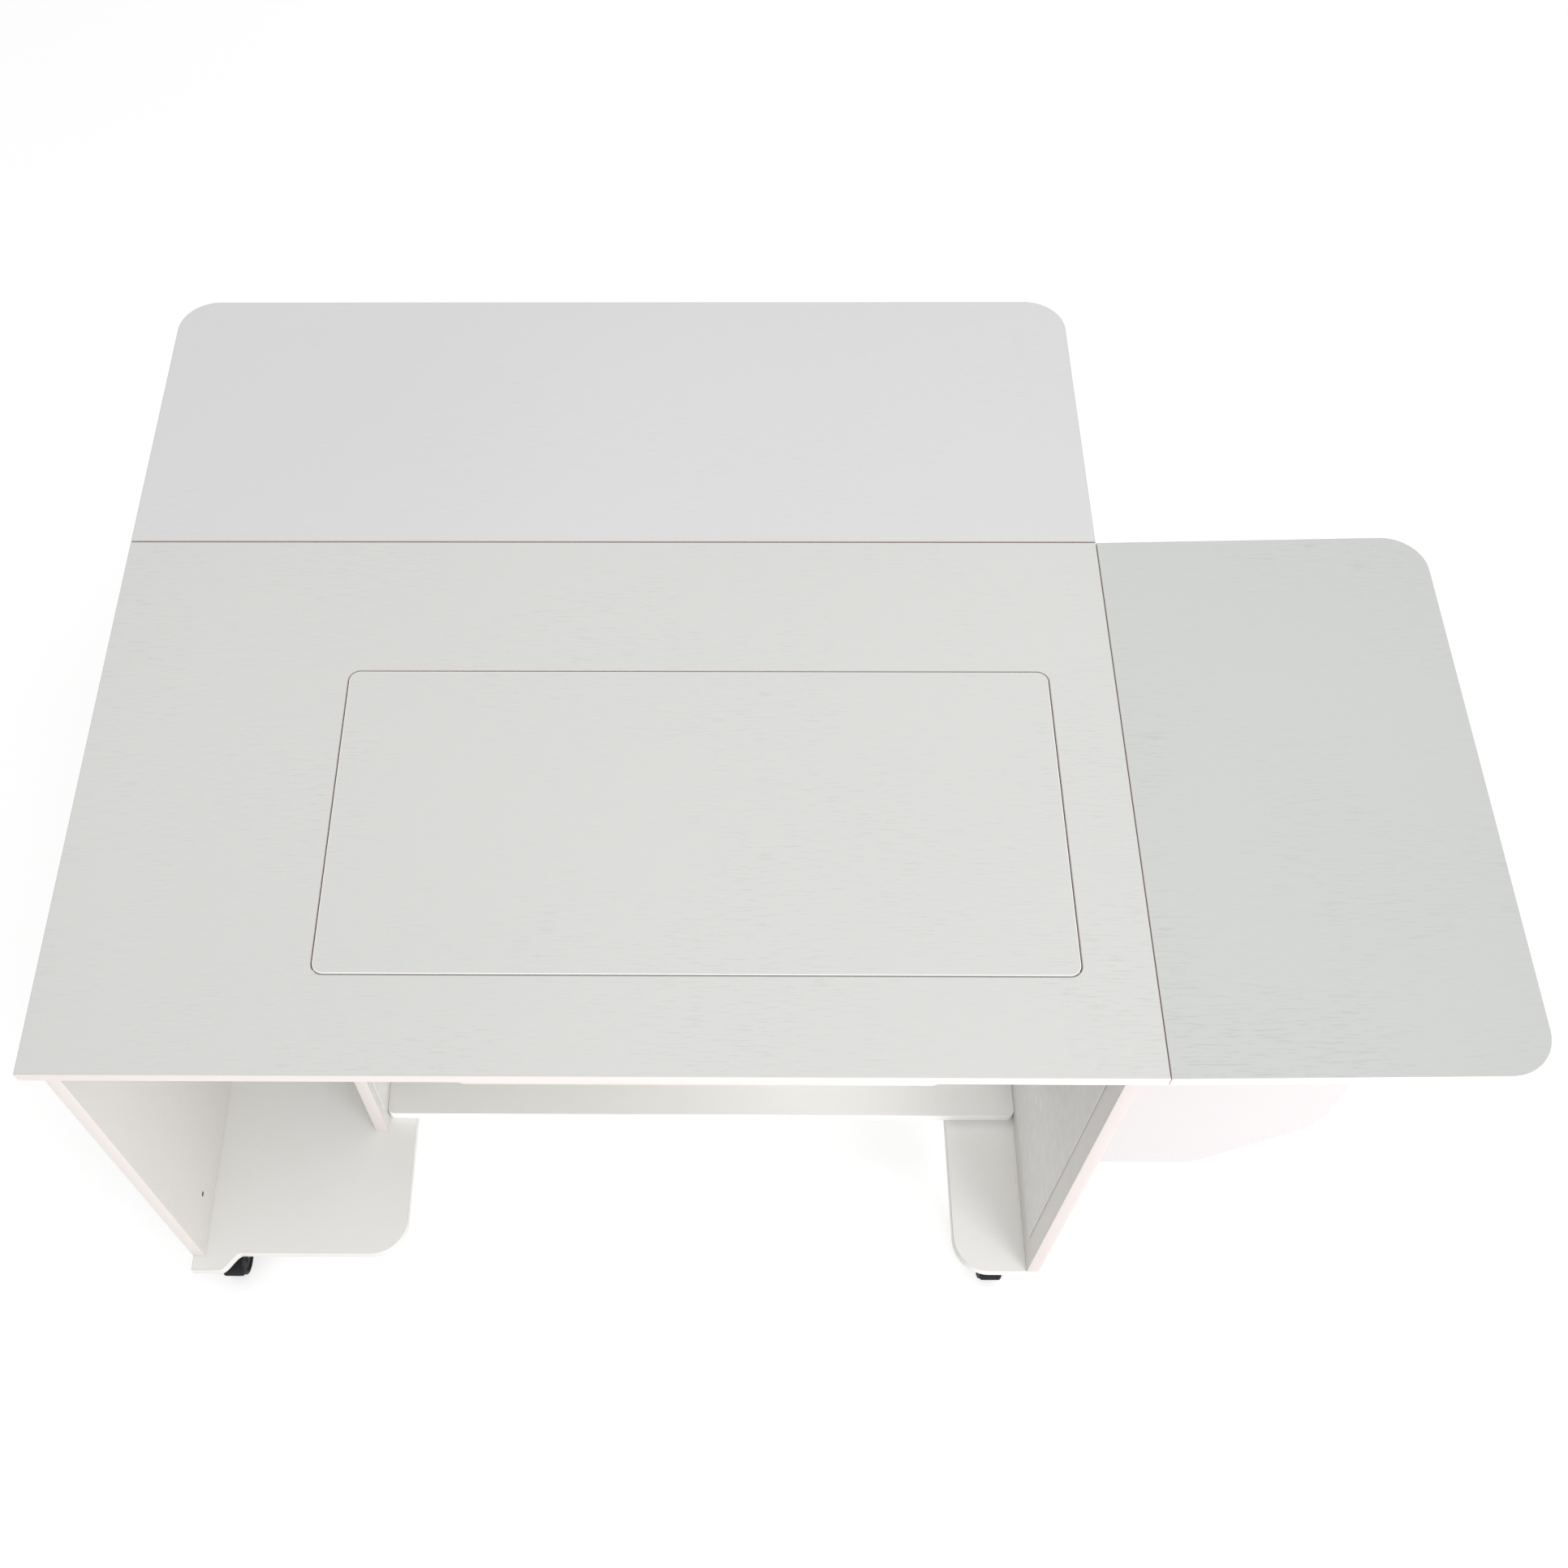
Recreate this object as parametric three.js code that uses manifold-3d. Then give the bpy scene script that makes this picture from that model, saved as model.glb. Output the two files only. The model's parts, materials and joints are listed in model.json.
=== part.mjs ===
// Sewing table on casters: a fixed top with a lift-out insert over a machine platform, a rear leaf
// on folding struts, a right leaf on a swing-out gate, and a storage bay at the left.
// Millimetres, +Z up. The table is laid out from the front left corner of its top, on the floor
// (X to the right, Y to the back), and then moved so that the origin is under its middle.
import * as THREE from 'three';
import { mergeVertices } from 'three/addons/utils/BufferGeometryUtils.js';
import Module from 'manifold-3d';

const wasm = await Module();
wasm.setup();

// ---- Driving dimensions ----
const GAP = 0.3;                 // clearance between pieces that touch
const BOARD = 16;                // melamine board thickness
const TOP_WIDTH = 1120;
const TOP_DEPTH = 660;
const TOP_HEIGHT = 750;
const SEAM = 1.5;                // gap between the top and each leaf
const REAR_LEAF_DEPTH = 390;
const RIGHT_LEAF_WIDTH = 370;
const LEAF_CORNER = 48;
const RIGHT_LEAF_RISE = THREE.MathUtils.degToRad(1.7);   // it rests with its outer edge a little high

const INSERT = { x0: 276, x1: 1046.5, y0: 109, y1: 477, corner: 12, gap: 2 };

const BASE_TOP = 78;             // upper face of the two feet
const CABINET_REAR = 614;
const LEFT_PANEL_X = 3.5;
const LEFT_PANEL_FRONT = 22;
const DIVIDER_X = 224.5;
const DIVIDER_FRONT = 193;
const RIGHT_PANEL_X = 1083;
const RIGHT_PANEL_FRONT = 7;

const FOOT = { rear: 630, corner: 45, leftInner: 279, rightInner: 991.5, toeFront: 3.5, recess: 26 };
const BRIDGE = { front: 211, endGap: 1, corner: 9 };

const PLATFORM = { x0: 373, x1: 949, y0: 118, y1: 436, top: 450, corner: 20 };
const CROSSBAR = { width: 38, height: 30, wall: 2, y: 290, endGap: 3.5 };

const UNDERSIDE = TOP_HEIGHT - BOARD;
const BASE_BOTTOM = BASE_TOP - BOARD;
const RIGHT_PANEL_OUTER = RIGHT_PANEL_X + BOARD;
const PANEL_BOTTOM = BASE_TOP + GAP;
const PANEL_TOP = UNDERSIDE - GAP;

// Flats round a cylinder, by the size of the piece.
const PIN_SIDES = 12;
const ROD_SIDES = 16;
const TUBE_SIDES = 20;
const WHEEL_SIDES = 32;
const OVERCUT = 1;               // how far a cutting tool runs past the face it cuts

// ---- Finishes ----
function finish(color, roughness, metalness = 0) {
  return () => new THREE.MeshStandardMaterial({ color, roughness, metalness });
}
const whiteBoard = finish(0xdcddda, 0.45);
const innerBoard = finish(0xd8d6d0, 0.5);
const platedSteel = finish(0xb9bcc0, 0.3, 0.9);
const whiteSteel = finish(0xe6e6e4, 0.4, 0.2);
const blackNylon = finish(0x1d2022, 0.5);
const blackTyre = finish(0x26282a, 0.75);

// ---- Solids ----
function toSolid(geometry) {
  const bare = geometry.clone();
  bare.deleteAttribute('normal');
  bare.deleteAttribute('uv');
  const merged = mergeVertices(bare, 1e-4);
  return new wasm.Manifold(new wasm.Mesh({
    numProp: 3,
    vertProperties: new Float32Array(merged.attributes.position.array),
    triVerts: new Uint32Array(merged.index.array),
  }));
}

function toGeometry(solid) {
  const mesh = solid.getMesh();
  const geometry = new THREE.BufferGeometry();
  geometry.setAttribute('position', new THREE.BufferAttribute(mesh.vertProperties, 3));
  geometry.setIndex(new THREE.BufferAttribute(mesh.triVerts, 1));
  geometry.computeVertexNormals();
  return geometry;
}

function join(...pieces) {
  return toGeometry(pieces.map(toSolid).reduce((whole, piece) => whole.add(piece)));
}

function cut(piece, ...tools) {
  return toGeometry(tools.map(toSolid).reduce((rest, tool) => rest.subtract(tool), toSolid(piece)));
}

// A box between two corners.
function block(x0, x1, y0, y1, z0, z1) {
  return new THREE.BoxGeometry(x1 - x0, y1 - y0, z1 - z0)
    .translate((x0 + x1) / 2, (y0 + y1) / 2, (z0 + z1) / 2);
}

// A cylinder along X or Z, from one coordinate to another, through (u, v) across it.
function rod(axis, radius, from, to, u, v, sides = ROD_SIDES) {
  const shape = new THREE.CylinderGeometry(radius, radius, to - from, sides);
  const middle = (from + to) / 2;
  if (axis === 'x') return shape.rotateZ(Math.PI / 2).translate(middle, u, v);
  return shape.rotateX(Math.PI / 2).translate(u, v, middle);
}

// A flat board cut to an outline in plan.
function board(outline, z0, z1, curveSegments = 10) {
  return new THREE.ExtrudeGeometry(outline, { depth: z1 - z0, bevelEnabled: false, curveSegments })
    .translate(0, 0, z0);
}

// A rectangle with its own radius at each corner, counted from the front left, anticlockwise.
function rectangle(x0, y0, x1, y1, radii, path = new THREE.Shape()) {
  const [frontLeft, frontRight, rearRight, rearLeft] = radii;
  path.moveTo(x0 + frontLeft, y0);
  path.lineTo(x1 - frontRight, y0);
  if (frontRight) path.absarc(x1 - frontRight, y0 + frontRight, frontRight, -Math.PI / 2, 0);
  path.lineTo(x1, y1 - rearRight);
  if (rearRight) path.absarc(x1 - rearRight, y1 - rearRight, rearRight, 0, Math.PI / 2);
  path.lineTo(x0 + rearLeft, y1);
  if (rearLeft) path.absarc(x0 + rearLeft, y1 - rearLeft, rearLeft, Math.PI / 2, Math.PI);
  path.lineTo(x0, y0 + frontLeft);
  if (frontLeft) path.absarc(x0 + frontLeft, y0 + frontLeft, frontLeft, Math.PI, 1.5 * Math.PI);
  return path;
}

const LEAF_KNUCKLE = 3;
const HINGE_AXIS_Z = UNDERSIDE - GAP - LEAF_KNUCKLE;

const table = new THREE.Group();
const REAR_LEAF_REAR = TOP_DEPTH + SEAM + REAR_LEAF_DEPTH;
const RIGHT_LEAF_RIGHT = TOP_WIDTH + SEAM + RIGHT_LEAF_WIDTH;

function add(name, geometry, material, parent = table) {
  const mesh = new THREE.Mesh(geometry, material());
  mesh.name = name;
  parent.add(mesh);
  return mesh;
}

// The pin line of a leaf: one frame for what is fixed to the top and one for what is on the leaf.
function pinLine(x, y, rise) {
  const fixed = new THREE.Group();
  fixed.position.set(x, y, HINGE_AXIS_Z);
  const moving = new THREE.Group();
  moving.rotation.y = -rise;
  fixed.add(moving);
  table.add(fixed);
  return { x, y, fixed, moving };
}
const REAR_PIN = pinLine(0, TOP_DEPTH + SEAM / 2, 0);
const RIGHT_PIN = pinLine(TOP_WIDTH + SEAM / 2, 0, RIGHT_LEAF_RISE);

// The origin goes under the middle of the outline, which the rise of the leaf draws in a little.
const outlineRight = RIGHT_PIN.x + (RIGHT_LEAF_RIGHT - RIGHT_PIN.x) * Math.cos(RIGHT_LEAF_RISE)
  - (UNDERSIDE - HINGE_AXIS_Z) * Math.sin(RIGHT_LEAF_RISE);
table.position.set(-outlineRight / 2, -REAR_LEAF_REAR / 2, 0);

// ---- Top, insert and leaves ----
function addTops() {
  const opening = [INSERT.x0 - INSERT.gap, INSERT.y0 - INSERT.gap, INSERT.x1 + INSERT.gap,
    INSERT.y1 + INSERT.gap];
  const openingCorner = INSERT.corner + INSERT.gap;
  const top = rectangle(0, 0, TOP_WIDTH, TOP_DEPTH, [0, 0, 0, 0]);
  top.holes.push(rectangle(...opening, Array(4).fill(openingCorner), new THREE.Path()));
  add('main_top', board(top, UNDERSIDE, TOP_HEIGHT, 6), whiteBoard);

  const insert = rectangle(INSERT.x0, INSERT.y0, INSERT.x1, INSERT.y1, Array(4).fill(INSERT.corner));
  add('insert_panel', board(insert, UNDERSIDE, TOP_HEIGHT, 6), whiteBoard);

  // Two cleats under the opening's ends, half under the top and half under the insert.
  const cleat = { reach: 14, height: 20, frontInset: 12 };
  for (const [name, edge] of [['insert_cleat_left', opening[0]], ['insert_cleat_right', opening[2]]]) {
    add(name, block(edge - cleat.reach, edge + cleat.reach, INSERT.y0 + cleat.frontInset,
      INSERT.y1 - cleat.frontInset, PANEL_TOP - cleat.height, PANEL_TOP), innerBoard);
  }

  const rearLeaf = rectangle(0, TOP_DEPTH + SEAM, TOP_WIDTH, REAR_LEAF_REAR,
    [0, 0, LEAF_CORNER, LEAF_CORNER]);
  add('rear_leaf', board(rearLeaf, UNDERSIDE, TOP_HEIGHT), whiteBoard);
  const rightLeaf = rectangle(TOP_WIDTH + SEAM, 0, RIGHT_LEAF_RIGHT, TOP_DEPTH,
    [0, LEAF_CORNER, LEAF_CORNER, 0]);
  add('right_leaf', board(rightLeaf, UNDERSIDE, TOP_HEIGHT)
    .translate(-RIGHT_PIN.x, 0, -HINGE_AXIS_Z), whiteBoard, RIGHT_PIN.moving);
}

// ---- Cabinet ----
function addCabinet() {
  const leftPanel = block(LEFT_PANEL_X, LEFT_PANEL_X + BOARD, LEFT_PANEL_FRONT, CABINET_REAR,
    PANEL_BOTTOM, PANEL_TOP);
  const pinHole = { radius: 3.5, depth: 9, y: 87, aboveBase: 53 };
  const innerFace = LEFT_PANEL_X + BOARD;
  const hole = rod('x', pinHole.radius, innerFace - pinHole.depth, innerFace + OVERCUT,
    pinHole.y, BASE_TOP + pinHole.aboveBase, PIN_SIDES);
  add('left_side_panel', cut(leftPanel, hole), whiteBoard);

  add('right_side_panel', block(RIGHT_PANEL_X, RIGHT_PANEL_OUTER, RIGHT_PANEL_FRONT, CABINET_REAR,
    PANEL_BOTTOM, PANEL_TOP), whiteBoard);

  const backFront = CABINET_REAR - BOARD;
  add('divider', block(DIVIDER_X, DIVIDER_X + BOARD, DIVIDER_FRONT, backFront - GAP,
    PANEL_BOTTOM, PANEL_TOP), whiteBoard);
  add('back_panel', block(LEFT_PANEL_X + BOARD + GAP, RIGHT_PANEL_X - GAP, backFront, CABINET_REAR,
    PANEL_BOTTOM, PANEL_TOP), innerBoard);

  const bridge = rectangle(DIVIDER_X + BOARD + BRIDGE.endGap, BRIDGE.front,
    RIGHT_PANEL_X - BRIDGE.endGap, backFront - GAP, [BRIDGE.corner, BRIDGE.corner, 0, 0]);
  add('bridge_board', board(bridge, PANEL_BOTTOM, PANEL_BOTTOM + BOARD, 5), whiteBoard);
}

// The left foot has a toe under the side panel and steps back to clear the caster beside it.
function addFeet() {
  const outer = 4;
  const toe = 41;
  const sweep = 25;
  const left = new THREE.Shape();
  left.moveTo(outer, FOOT.toeFront);
  left.lineTo(toe, FOOT.toeFront);
  left.bezierCurveTo(toe + sweep / 2, FOOT.toeFront, toe + sweep / 2, FOOT.recess,
    toe + sweep, FOOT.recess);
  left.lineTo(FOOT.leftInner - FOOT.corner, FOOT.recess);
  left.absarc(FOOT.leftInner - FOOT.corner, FOOT.recess + FOOT.corner, FOOT.corner, -Math.PI / 2, 0);
  left.lineTo(FOOT.leftInner, FOOT.rear);
  left.lineTo(outer, FOOT.rear);
  left.closePath();
  add('left_foot', board(left, BASE_BOTTOM, BASE_TOP, 8), whiteBoard);

  const right = new THREE.Shape();
  right.moveTo(FOOT.rightInner, FOOT.rear);
  right.lineTo(FOOT.rightInner, RIGHT_PANEL_FRONT + FOOT.corner);
  right.absarc(FOOT.rightInner + FOOT.corner, RIGHT_PANEL_FRONT + FOOT.corner, FOOT.corner,
    Math.PI, 1.5 * Math.PI);
  right.lineTo(RIGHT_PANEL_OUTER, RIGHT_PANEL_FRONT);
  right.lineTo(RIGHT_PANEL_OUTER, FOOT.rear);
  right.closePath();
  add('right_foot', board(right, BASE_BOTTOM, BASE_TOP, 8), whiteBoard);
}

// ---- Butt hinges ----
// Drawn with the pin along local Z, the fixed plate towards -X and the moving plate towards +X.
const HINGE_PIN = 1.4;
const HINGE_PLATE = 1.5;

function hingeHalves(length, knuckle, fixedReach, movingReach, plateY) {
  const third = length / 3;
  const edge = length / 2;
  const fixedPlate = block(-fixedReach, -knuckle - GAP, plateY, plateY + HINGE_PLATE, -edge, edge);
  const movingPlate = block(knuckle + GAP, movingReach, plateY, plateY + HINGE_PLATE, -edge, edge);
  const fixedPieces = [fixedPlate, rod('z', HINGE_PIN, -edge, edge, 0, 0, PIN_SIDES)];
  for (const [from, to] of [[-edge, -third / 2 - GAP], [third / 2 + GAP, edge]]) {
    fixedPieces.push(rod('z', knuckle, from, to, 0, 0));
    fixedPieces.push(block(-knuckle - 2 * GAP, 0, plateY, plateY + HINGE_PLATE, from, to));
  }
  const movingKnuckle = cut(
    join(rod('z', knuckle, -third / 2, third / 2, 0, 0),
      block(0, knuckle + 2 * GAP, plateY, plateY + HINGE_PLATE, -third / 2, third / 2)),
    rod('z', HINGE_PIN + GAP, -third, third, 0, 0, PIN_SIDES),
  );
  return { fixed: join(...fixedPieces), moving: join(movingPlate, movingKnuckle) };
}

function addHinge(name, halves, pin, along, turn) {
  for (const half of ['fixed', 'moving']) {
    const mesh = add(`${name}_${half}`, halves[half], platedSteel, pin[half]);
    mesh.quaternion.setFromRotationMatrix(turn);
    mesh.position.copy(along);
  }
}

const REAR_HINGE = { length: 60, fixedReach: 32, movingReach: 34, x: [150, 560, 970] };
const RIGHT_HINGE = { length: 60, fixedReach: 19, movingReach: 34, y: [120, 560] };

function addLeafHinges() {
  const halves = ({ length, fixedReach, movingReach }) => hingeHalves(
    length, LEAF_KNUCKLE, fixedReach, movingReach, LEAF_KNUCKLE - HINGE_PLATE);

  // local X runs to the back, local Y up and local Z to the right
  const rear = halves(REAR_HINGE);
  const toBack = new THREE.Matrix4().makeBasis(
    new THREE.Vector3(0, 1, 0), new THREE.Vector3(0, 0, 1), new THREE.Vector3(1, 0, 0));
  REAR_HINGE.x.forEach((x, index) => addHinge(
    `rear_hinge_${index + 1}`, rear, REAR_PIN, new THREE.Vector3(x, 0, 0), toBack));

  // local X stays to the right, local Y is up and local Z runs to the front
  const right = halves(RIGHT_HINGE);
  const toRight = new THREE.Matrix4().makeRotationX(Math.PI / 2);
  RIGHT_HINGE.y.forEach((y, index) => addHinge(
    `right_hinge_${index + 1}`, right, RIGHT_PIN, new THREE.Vector3(0, y, 0), toRight));
}

// ---- Rear leaf struts ----
// Each strut turns on a bracket under the leaf, and its foot bears on a catch on the back panel.
const STRUT = { length: 320, width: 18, thick: 4, pivotOut: 200, pivotDown: 18, footOff: 12.5 };
const STRUT_X = [260, 860];
const BRACKET = { width: 26, halfDepth: 24, plate: 2, cheek: 3, cheekHalf: 12, belowPin: 8, pin: 3,
  pinHead: 5 };
const CATCH = { width: 30, above: 34, below: 30, plate: 2, cheekReach: 22, cheekAbove: 20,
  cheekBelow: 16 };

function addStruts() {
  const pivotY = REAR_PIN.y + STRUT.pivotOut;
  const pivotZ = HINGE_AXIS_Z - STRUT.pivotDown;
  const footY = CABINET_REAR + STRUT.footOff;
  const lean = Math.asin((pivotY - footY) / STRUT.length);
  const footZ = pivotZ - STRUT.length * Math.cos(lean);
  const half = STRUT.width / 2;

  STRUT_X.forEach((x, index) => {
    const side = index === 0 ? 'left' : 'right';
    const strutX1 = x + STRUT.thick;

    // flat bar with round ends, drawn hanging down from its pivot and then leaned inwards
    const bar = new THREE.Shape();
    bar.absarc(0, 0, half, 0, Math.PI);
    bar.absarc(0, -STRUT.length, half, Math.PI, 2 * Math.PI);
    bar.closePath();
    bar.holes.push(new THREE.Path().absarc(0, 0, BRACKET.pin + GAP, 0, 2 * Math.PI));
    const barGeometry = new THREE.ExtrudeGeometry(bar, {
      depth: STRUT.thick, bevelEnabled: false, curveSegments: 8,
    });
    barGeometry.rotateX(Math.PI / 2).rotateZ(Math.PI / 2);
    const strut = add(`rear_strut_${side}`, barGeometry, whiteSteel);
    strut.rotation.x = -lean;
    strut.position.set(x, pivotY, pivotZ);

    // bracket under the leaf: a plate, a cheek beside the bar and a headed pin through it
    const plateTop = UNDERSIDE - GAP;
    const cheekX = x - GAP - BRACKET.cheek;
    const cheekEnd = cheekX + BRACKET.cheek;
    const pinEnd = strutX1 + BRACKET.cheek;
    add(`strut_bracket_${side}`, join(
      block(cheekX, cheekX + BRACKET.width, pivotY - BRACKET.halfDepth, pivotY + BRACKET.halfDepth,
        plateTop - BRACKET.plate, plateTop),
      block(cheekX, cheekEnd, pivotY - BRACKET.cheekHalf, pivotY + BRACKET.cheekHalf,
        pivotZ - BRACKET.belowPin, plateTop - BRACKET.plate / 2),
      rod('x', BRACKET.pin, cheekX + BRACKET.cheek / 2, pinEnd, pivotY, pivotZ),
      rod('x', BRACKET.pinHead, strutX1 + GAP, pinEnd, pivotY, pivotZ),
    ), platedSteel);

    // catch on the back panel: a plate and a cheek beside the bar's foot
    const catchY = CABINET_REAR + GAP;
    add(`strut_catch_${side}`, join(
      block(cheekX, cheekX + CATCH.width, catchY, catchY + CATCH.plate, footZ - CATCH.below,
        footZ + CATCH.above),
      block(cheekX, cheekEnd, catchY + CATCH.plate / 2, catchY + CATCH.cheekReach,
        footZ - CATCH.cheekBelow, footZ + CATCH.cheekAbove),
    ), platedSteel);
  });
}

// ---- Swing-out gate under the right leaf ----
const GATE = { front: 46, width: 237, drop: 366, clear: 8, knuckle: 2.5, plate: 1.2, hingeLength: 210,
  hingeRise: 20, stop: 6, stopInset: 24 };
const GATE_AXIS_X = RIGHT_PANEL_OUTER + GAP + GATE.knuckle;
const GATE_AXIS_Y = GATE.front + BOARD + 0.8;

function addGate() {
  const plateX = GATE_AXIS_X + GATE.plate;
  const x0 = plateX + GATE.plate + 0.5;
  const x1 = x0 + GATE.width;
  const top = UNDERSIDE - GATE.clear;
  const bottom = TOP_HEIGHT - GATE.drop;

  // the lower outer corner is cut off on a slope that bends softly into both edges: each point is
  // so far in from the outer edge and so far up from the bottom
  const slope = {
    leavesBottom: [125, 0], bottomBend: [116, 0], start: [107, 7],
    end: [20, 104], sideBend: [0, 125], meetsSide: [0, 160],
  };
  const at = ([inward, up]) => [x1 - inward, bottom + up];
  const outline = new THREE.Shape();
  outline.moveTo(x0, bottom);
  outline.lineTo(...at(slope.leavesBottom));
  outline.quadraticCurveTo(...at(slope.bottomBend), ...at(slope.start));
  outline.lineTo(...at(slope.end));
  outline.quadraticCurveTo(...at(slope.sideBend), ...at(slope.meetsSide));
  outline.lineTo(x1, top);
  outline.lineTo(x0, top);
  outline.closePath();
  const gate = new THREE.ExtrudeGeometry(outline, {
    depth: BOARD, bevelEnabled: false, curveSegments: 6,
  });
  gate.rotateX(Math.PI / 2).translate(0, GATE.front + BOARD, 0);
  add('leaf_gate', gate, whiteBoard);

  // nylon stop under the leaf, square to it, which bears on the gate's top edge
  const stopReach = x1 - GATE.stopInset - RIGHT_PIN.x;
  const rise = (stopReach - GATE.stop) * Math.sin(RIGHT_LEAF_RISE);
  const stopBottom = (top + GAP - HINGE_AXIS_Z - rise) / Math.cos(RIGHT_LEAF_RISE);
  add('leaf_stop', rod('z', GATE.stop, stopBottom, LEAF_KNUCKLE, stopReach, GATE.front + BOARD / 2,
    TUBE_SIDES), blackNylon, RIGHT_PIN.moving);

  // one long hinge: the fixed plate on the panel's face, the moving plate on the gate's end
  const halfLength = GATE.hingeLength / 2;
  const third = GATE.hingeLength / 3;
  const middleZ = (top + bottom) / 2 + GATE.hingeRise;
  const panelFace = RIGHT_PANEL_OUTER + GAP;
  const plateFront = GATE.front + 2;
  const plateRear = GATE_AXIS_Y - GATE.knuckle - GAP;
  const along = (radius, from, to, sides) => rod('z', radius, middleZ + from, middleZ + to,
    GATE_AXIS_X, GATE_AXIS_Y, sides);
  const plate = (face, rear, from, to) => block(face, face + GATE.plate, plateFront, rear,
    middleZ + from, middleZ + to);

  const fixed = [
    plate(panelFace, plateRear, -halfLength, halfLength),
    along(HINGE_PIN, -halfLength, halfLength, PIN_SIDES),
  ];
  for (const [from, to] of [[-halfLength, -third / 2 - GAP], [third / 2 + GAP, halfLength]]) {
    fixed.push(along(GATE.knuckle, from, to), plate(panelFace, GATE_AXIS_Y, from, to));
  }
  add('gate_hinge_fixed', join(...fixed), platedSteel);

  add('gate_hinge_moving', join(
    plate(plateX, plateRear, -halfLength, halfLength),
    cut(
      join(along(GATE.knuckle, -third / 2, third / 2),
        plate(plateX, GATE_AXIS_Y, -third / 2, third / 2)),
      along(HINGE_PIN + GAP, -third, third, PIN_SIDES),
    ),
  ), platedSteel);
}

// ---- Machine platform on its lift ----
function addLift() {
  const underPlatform = PLATFORM.top - BOARD;
  const platform = rectangle(PLATFORM.x0, PLATFORM.y0, PLATFORM.x1, PLATFORM.y1,
    Array(4).fill(PLATFORM.corner));
  add('lift_platform', board(platform, underPlatform, PLATFORM.top, 6), whiteBoard);

  // steel channel across the bay, open downwards, that carries the platform
  const { width, height, wall, y, endGap } = CROSSBAR;
  const bayLeft = DIVIDER_X + BOARD;
  const barLeft = bayLeft + endGap;
  const barRight = RIGHT_PANEL_X - endGap;
  const barTop = underPlatform - GAP;
  const barBottom = barTop - height;
  add('lift_crossbar', cut(
    block(barLeft, barRight, y - width / 2, y + width / 2, barBottom, barTop),
    block(barLeft - OVERCUT, barRight + OVERCUT, y - width / 2 + wall, y + width / 2 - wall,
      barBottom - OVERCUT, barTop - wall),
  ), whiteSteel);

  // rails: a plate on each side of the bay with two lips that guide the bar's end
  const rail = { bottom: BASE_TOP + 44, top: TOP_HEIGHT - 50, rear: y + 45, plate: 1.5,
    lipDepth: 13, lip: 2, lipClear: 0.6 };
  for (const [name, face, inward, front] of [
    ['lift_rail_left', bayLeft, 1, DIVIDER_FRONT + 12],
    ['lift_rail_right', RIGHT_PANEL_X, -1, RIGHT_PANEL_FRONT + 30],
  ]) {
    const strip = (reach, from, to) => {
      const [x0, x1] = [face + inward * GAP, face + inward * (GAP + reach)].sort((a, b) => a - b);
      return block(x0, x1, from, to, rail.bottom, rail.top);
    };
    const frontLip = y - width / 2 - rail.lipClear - rail.lip;
    const rearLip = y + width / 2 + rail.lipClear;
    add(name, join(
      strip(rail.plate, front, rail.rear),
      strip(rail.lipDepth, frontLip, frontLip + rail.lip),
      strip(rail.lipDepth, rearLip, rearLip + rail.lip),
    ), whiteSteel);
  }

  // gas springs: a tube standing on the bridge board and a rod up into the channel
  const spring = { tube: 9, bore: 7, floor: 6, flange: 13, flangeHeight: 4, rod: 4, rodFoot: 8,
    cap: 10, inset: 20, belowBar: 16 };
  const tubeBottom = PANEL_BOTTOM + BOARD + GAP;
  const tubeTop = barBottom - spring.belowBar;
  const capTop = barTop - wall - GAP;
  for (const [side, x] of [['left', barLeft + spring.inset], ['right', barRight - spring.inset]]) {
    const turned = (radius, from, to, sides = TUBE_SIDES) => rod('z', radius, from, to, x, y, sides);
    add(`gas_tube_${side}`, cut(
      join(turned(spring.tube, tubeBottom, tubeTop),
        turned(spring.flange, tubeBottom, tubeBottom + spring.flangeHeight)),
      turned(spring.bore, tubeBottom + spring.floor, tubeTop + OVERCUT),
    ), blackNylon);
    add(`gas_rod_${side}`, join(
      turned(spring.rod, tubeBottom + spring.rodFoot, capTop, ROD_SIDES),
      turned(spring.tube, capTop - spring.cap, capTop, ROD_SIDES),
    ), platedSteel);
  }
}

// ---- Twin-wheel casters ----
// Each is drawn about its swivel axis, with its wheels trailing along local -Y.
const CASTER = {
  wheel: 25, tread: 9, tyreEase: 1, rimDrop: 2, trail: 18, web: 5.5, axle: 3,
  hood: 28.5, hoodStart: 30, hoodEnd: 196, webDrop: 1.5, lipHeight: 9,
  plate: 42, plateThick: 2, collar: 9, collarDrop: 4, stem: 3.5, stemBottom: 36,
  boss: 9, bossBottom: 30,
};
const CASTERS = [
  { name: 'front_left', x: 48, y: 57, turn: 0 },
  { name: 'front_right', x: 1043, y: 57, turn: 0 },
  { name: 'rear_left', x: 48, y: 574, turn: Math.PI },
  { name: 'rear_right', x: 1043, y: 574, turn: Math.PI },
];

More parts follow.
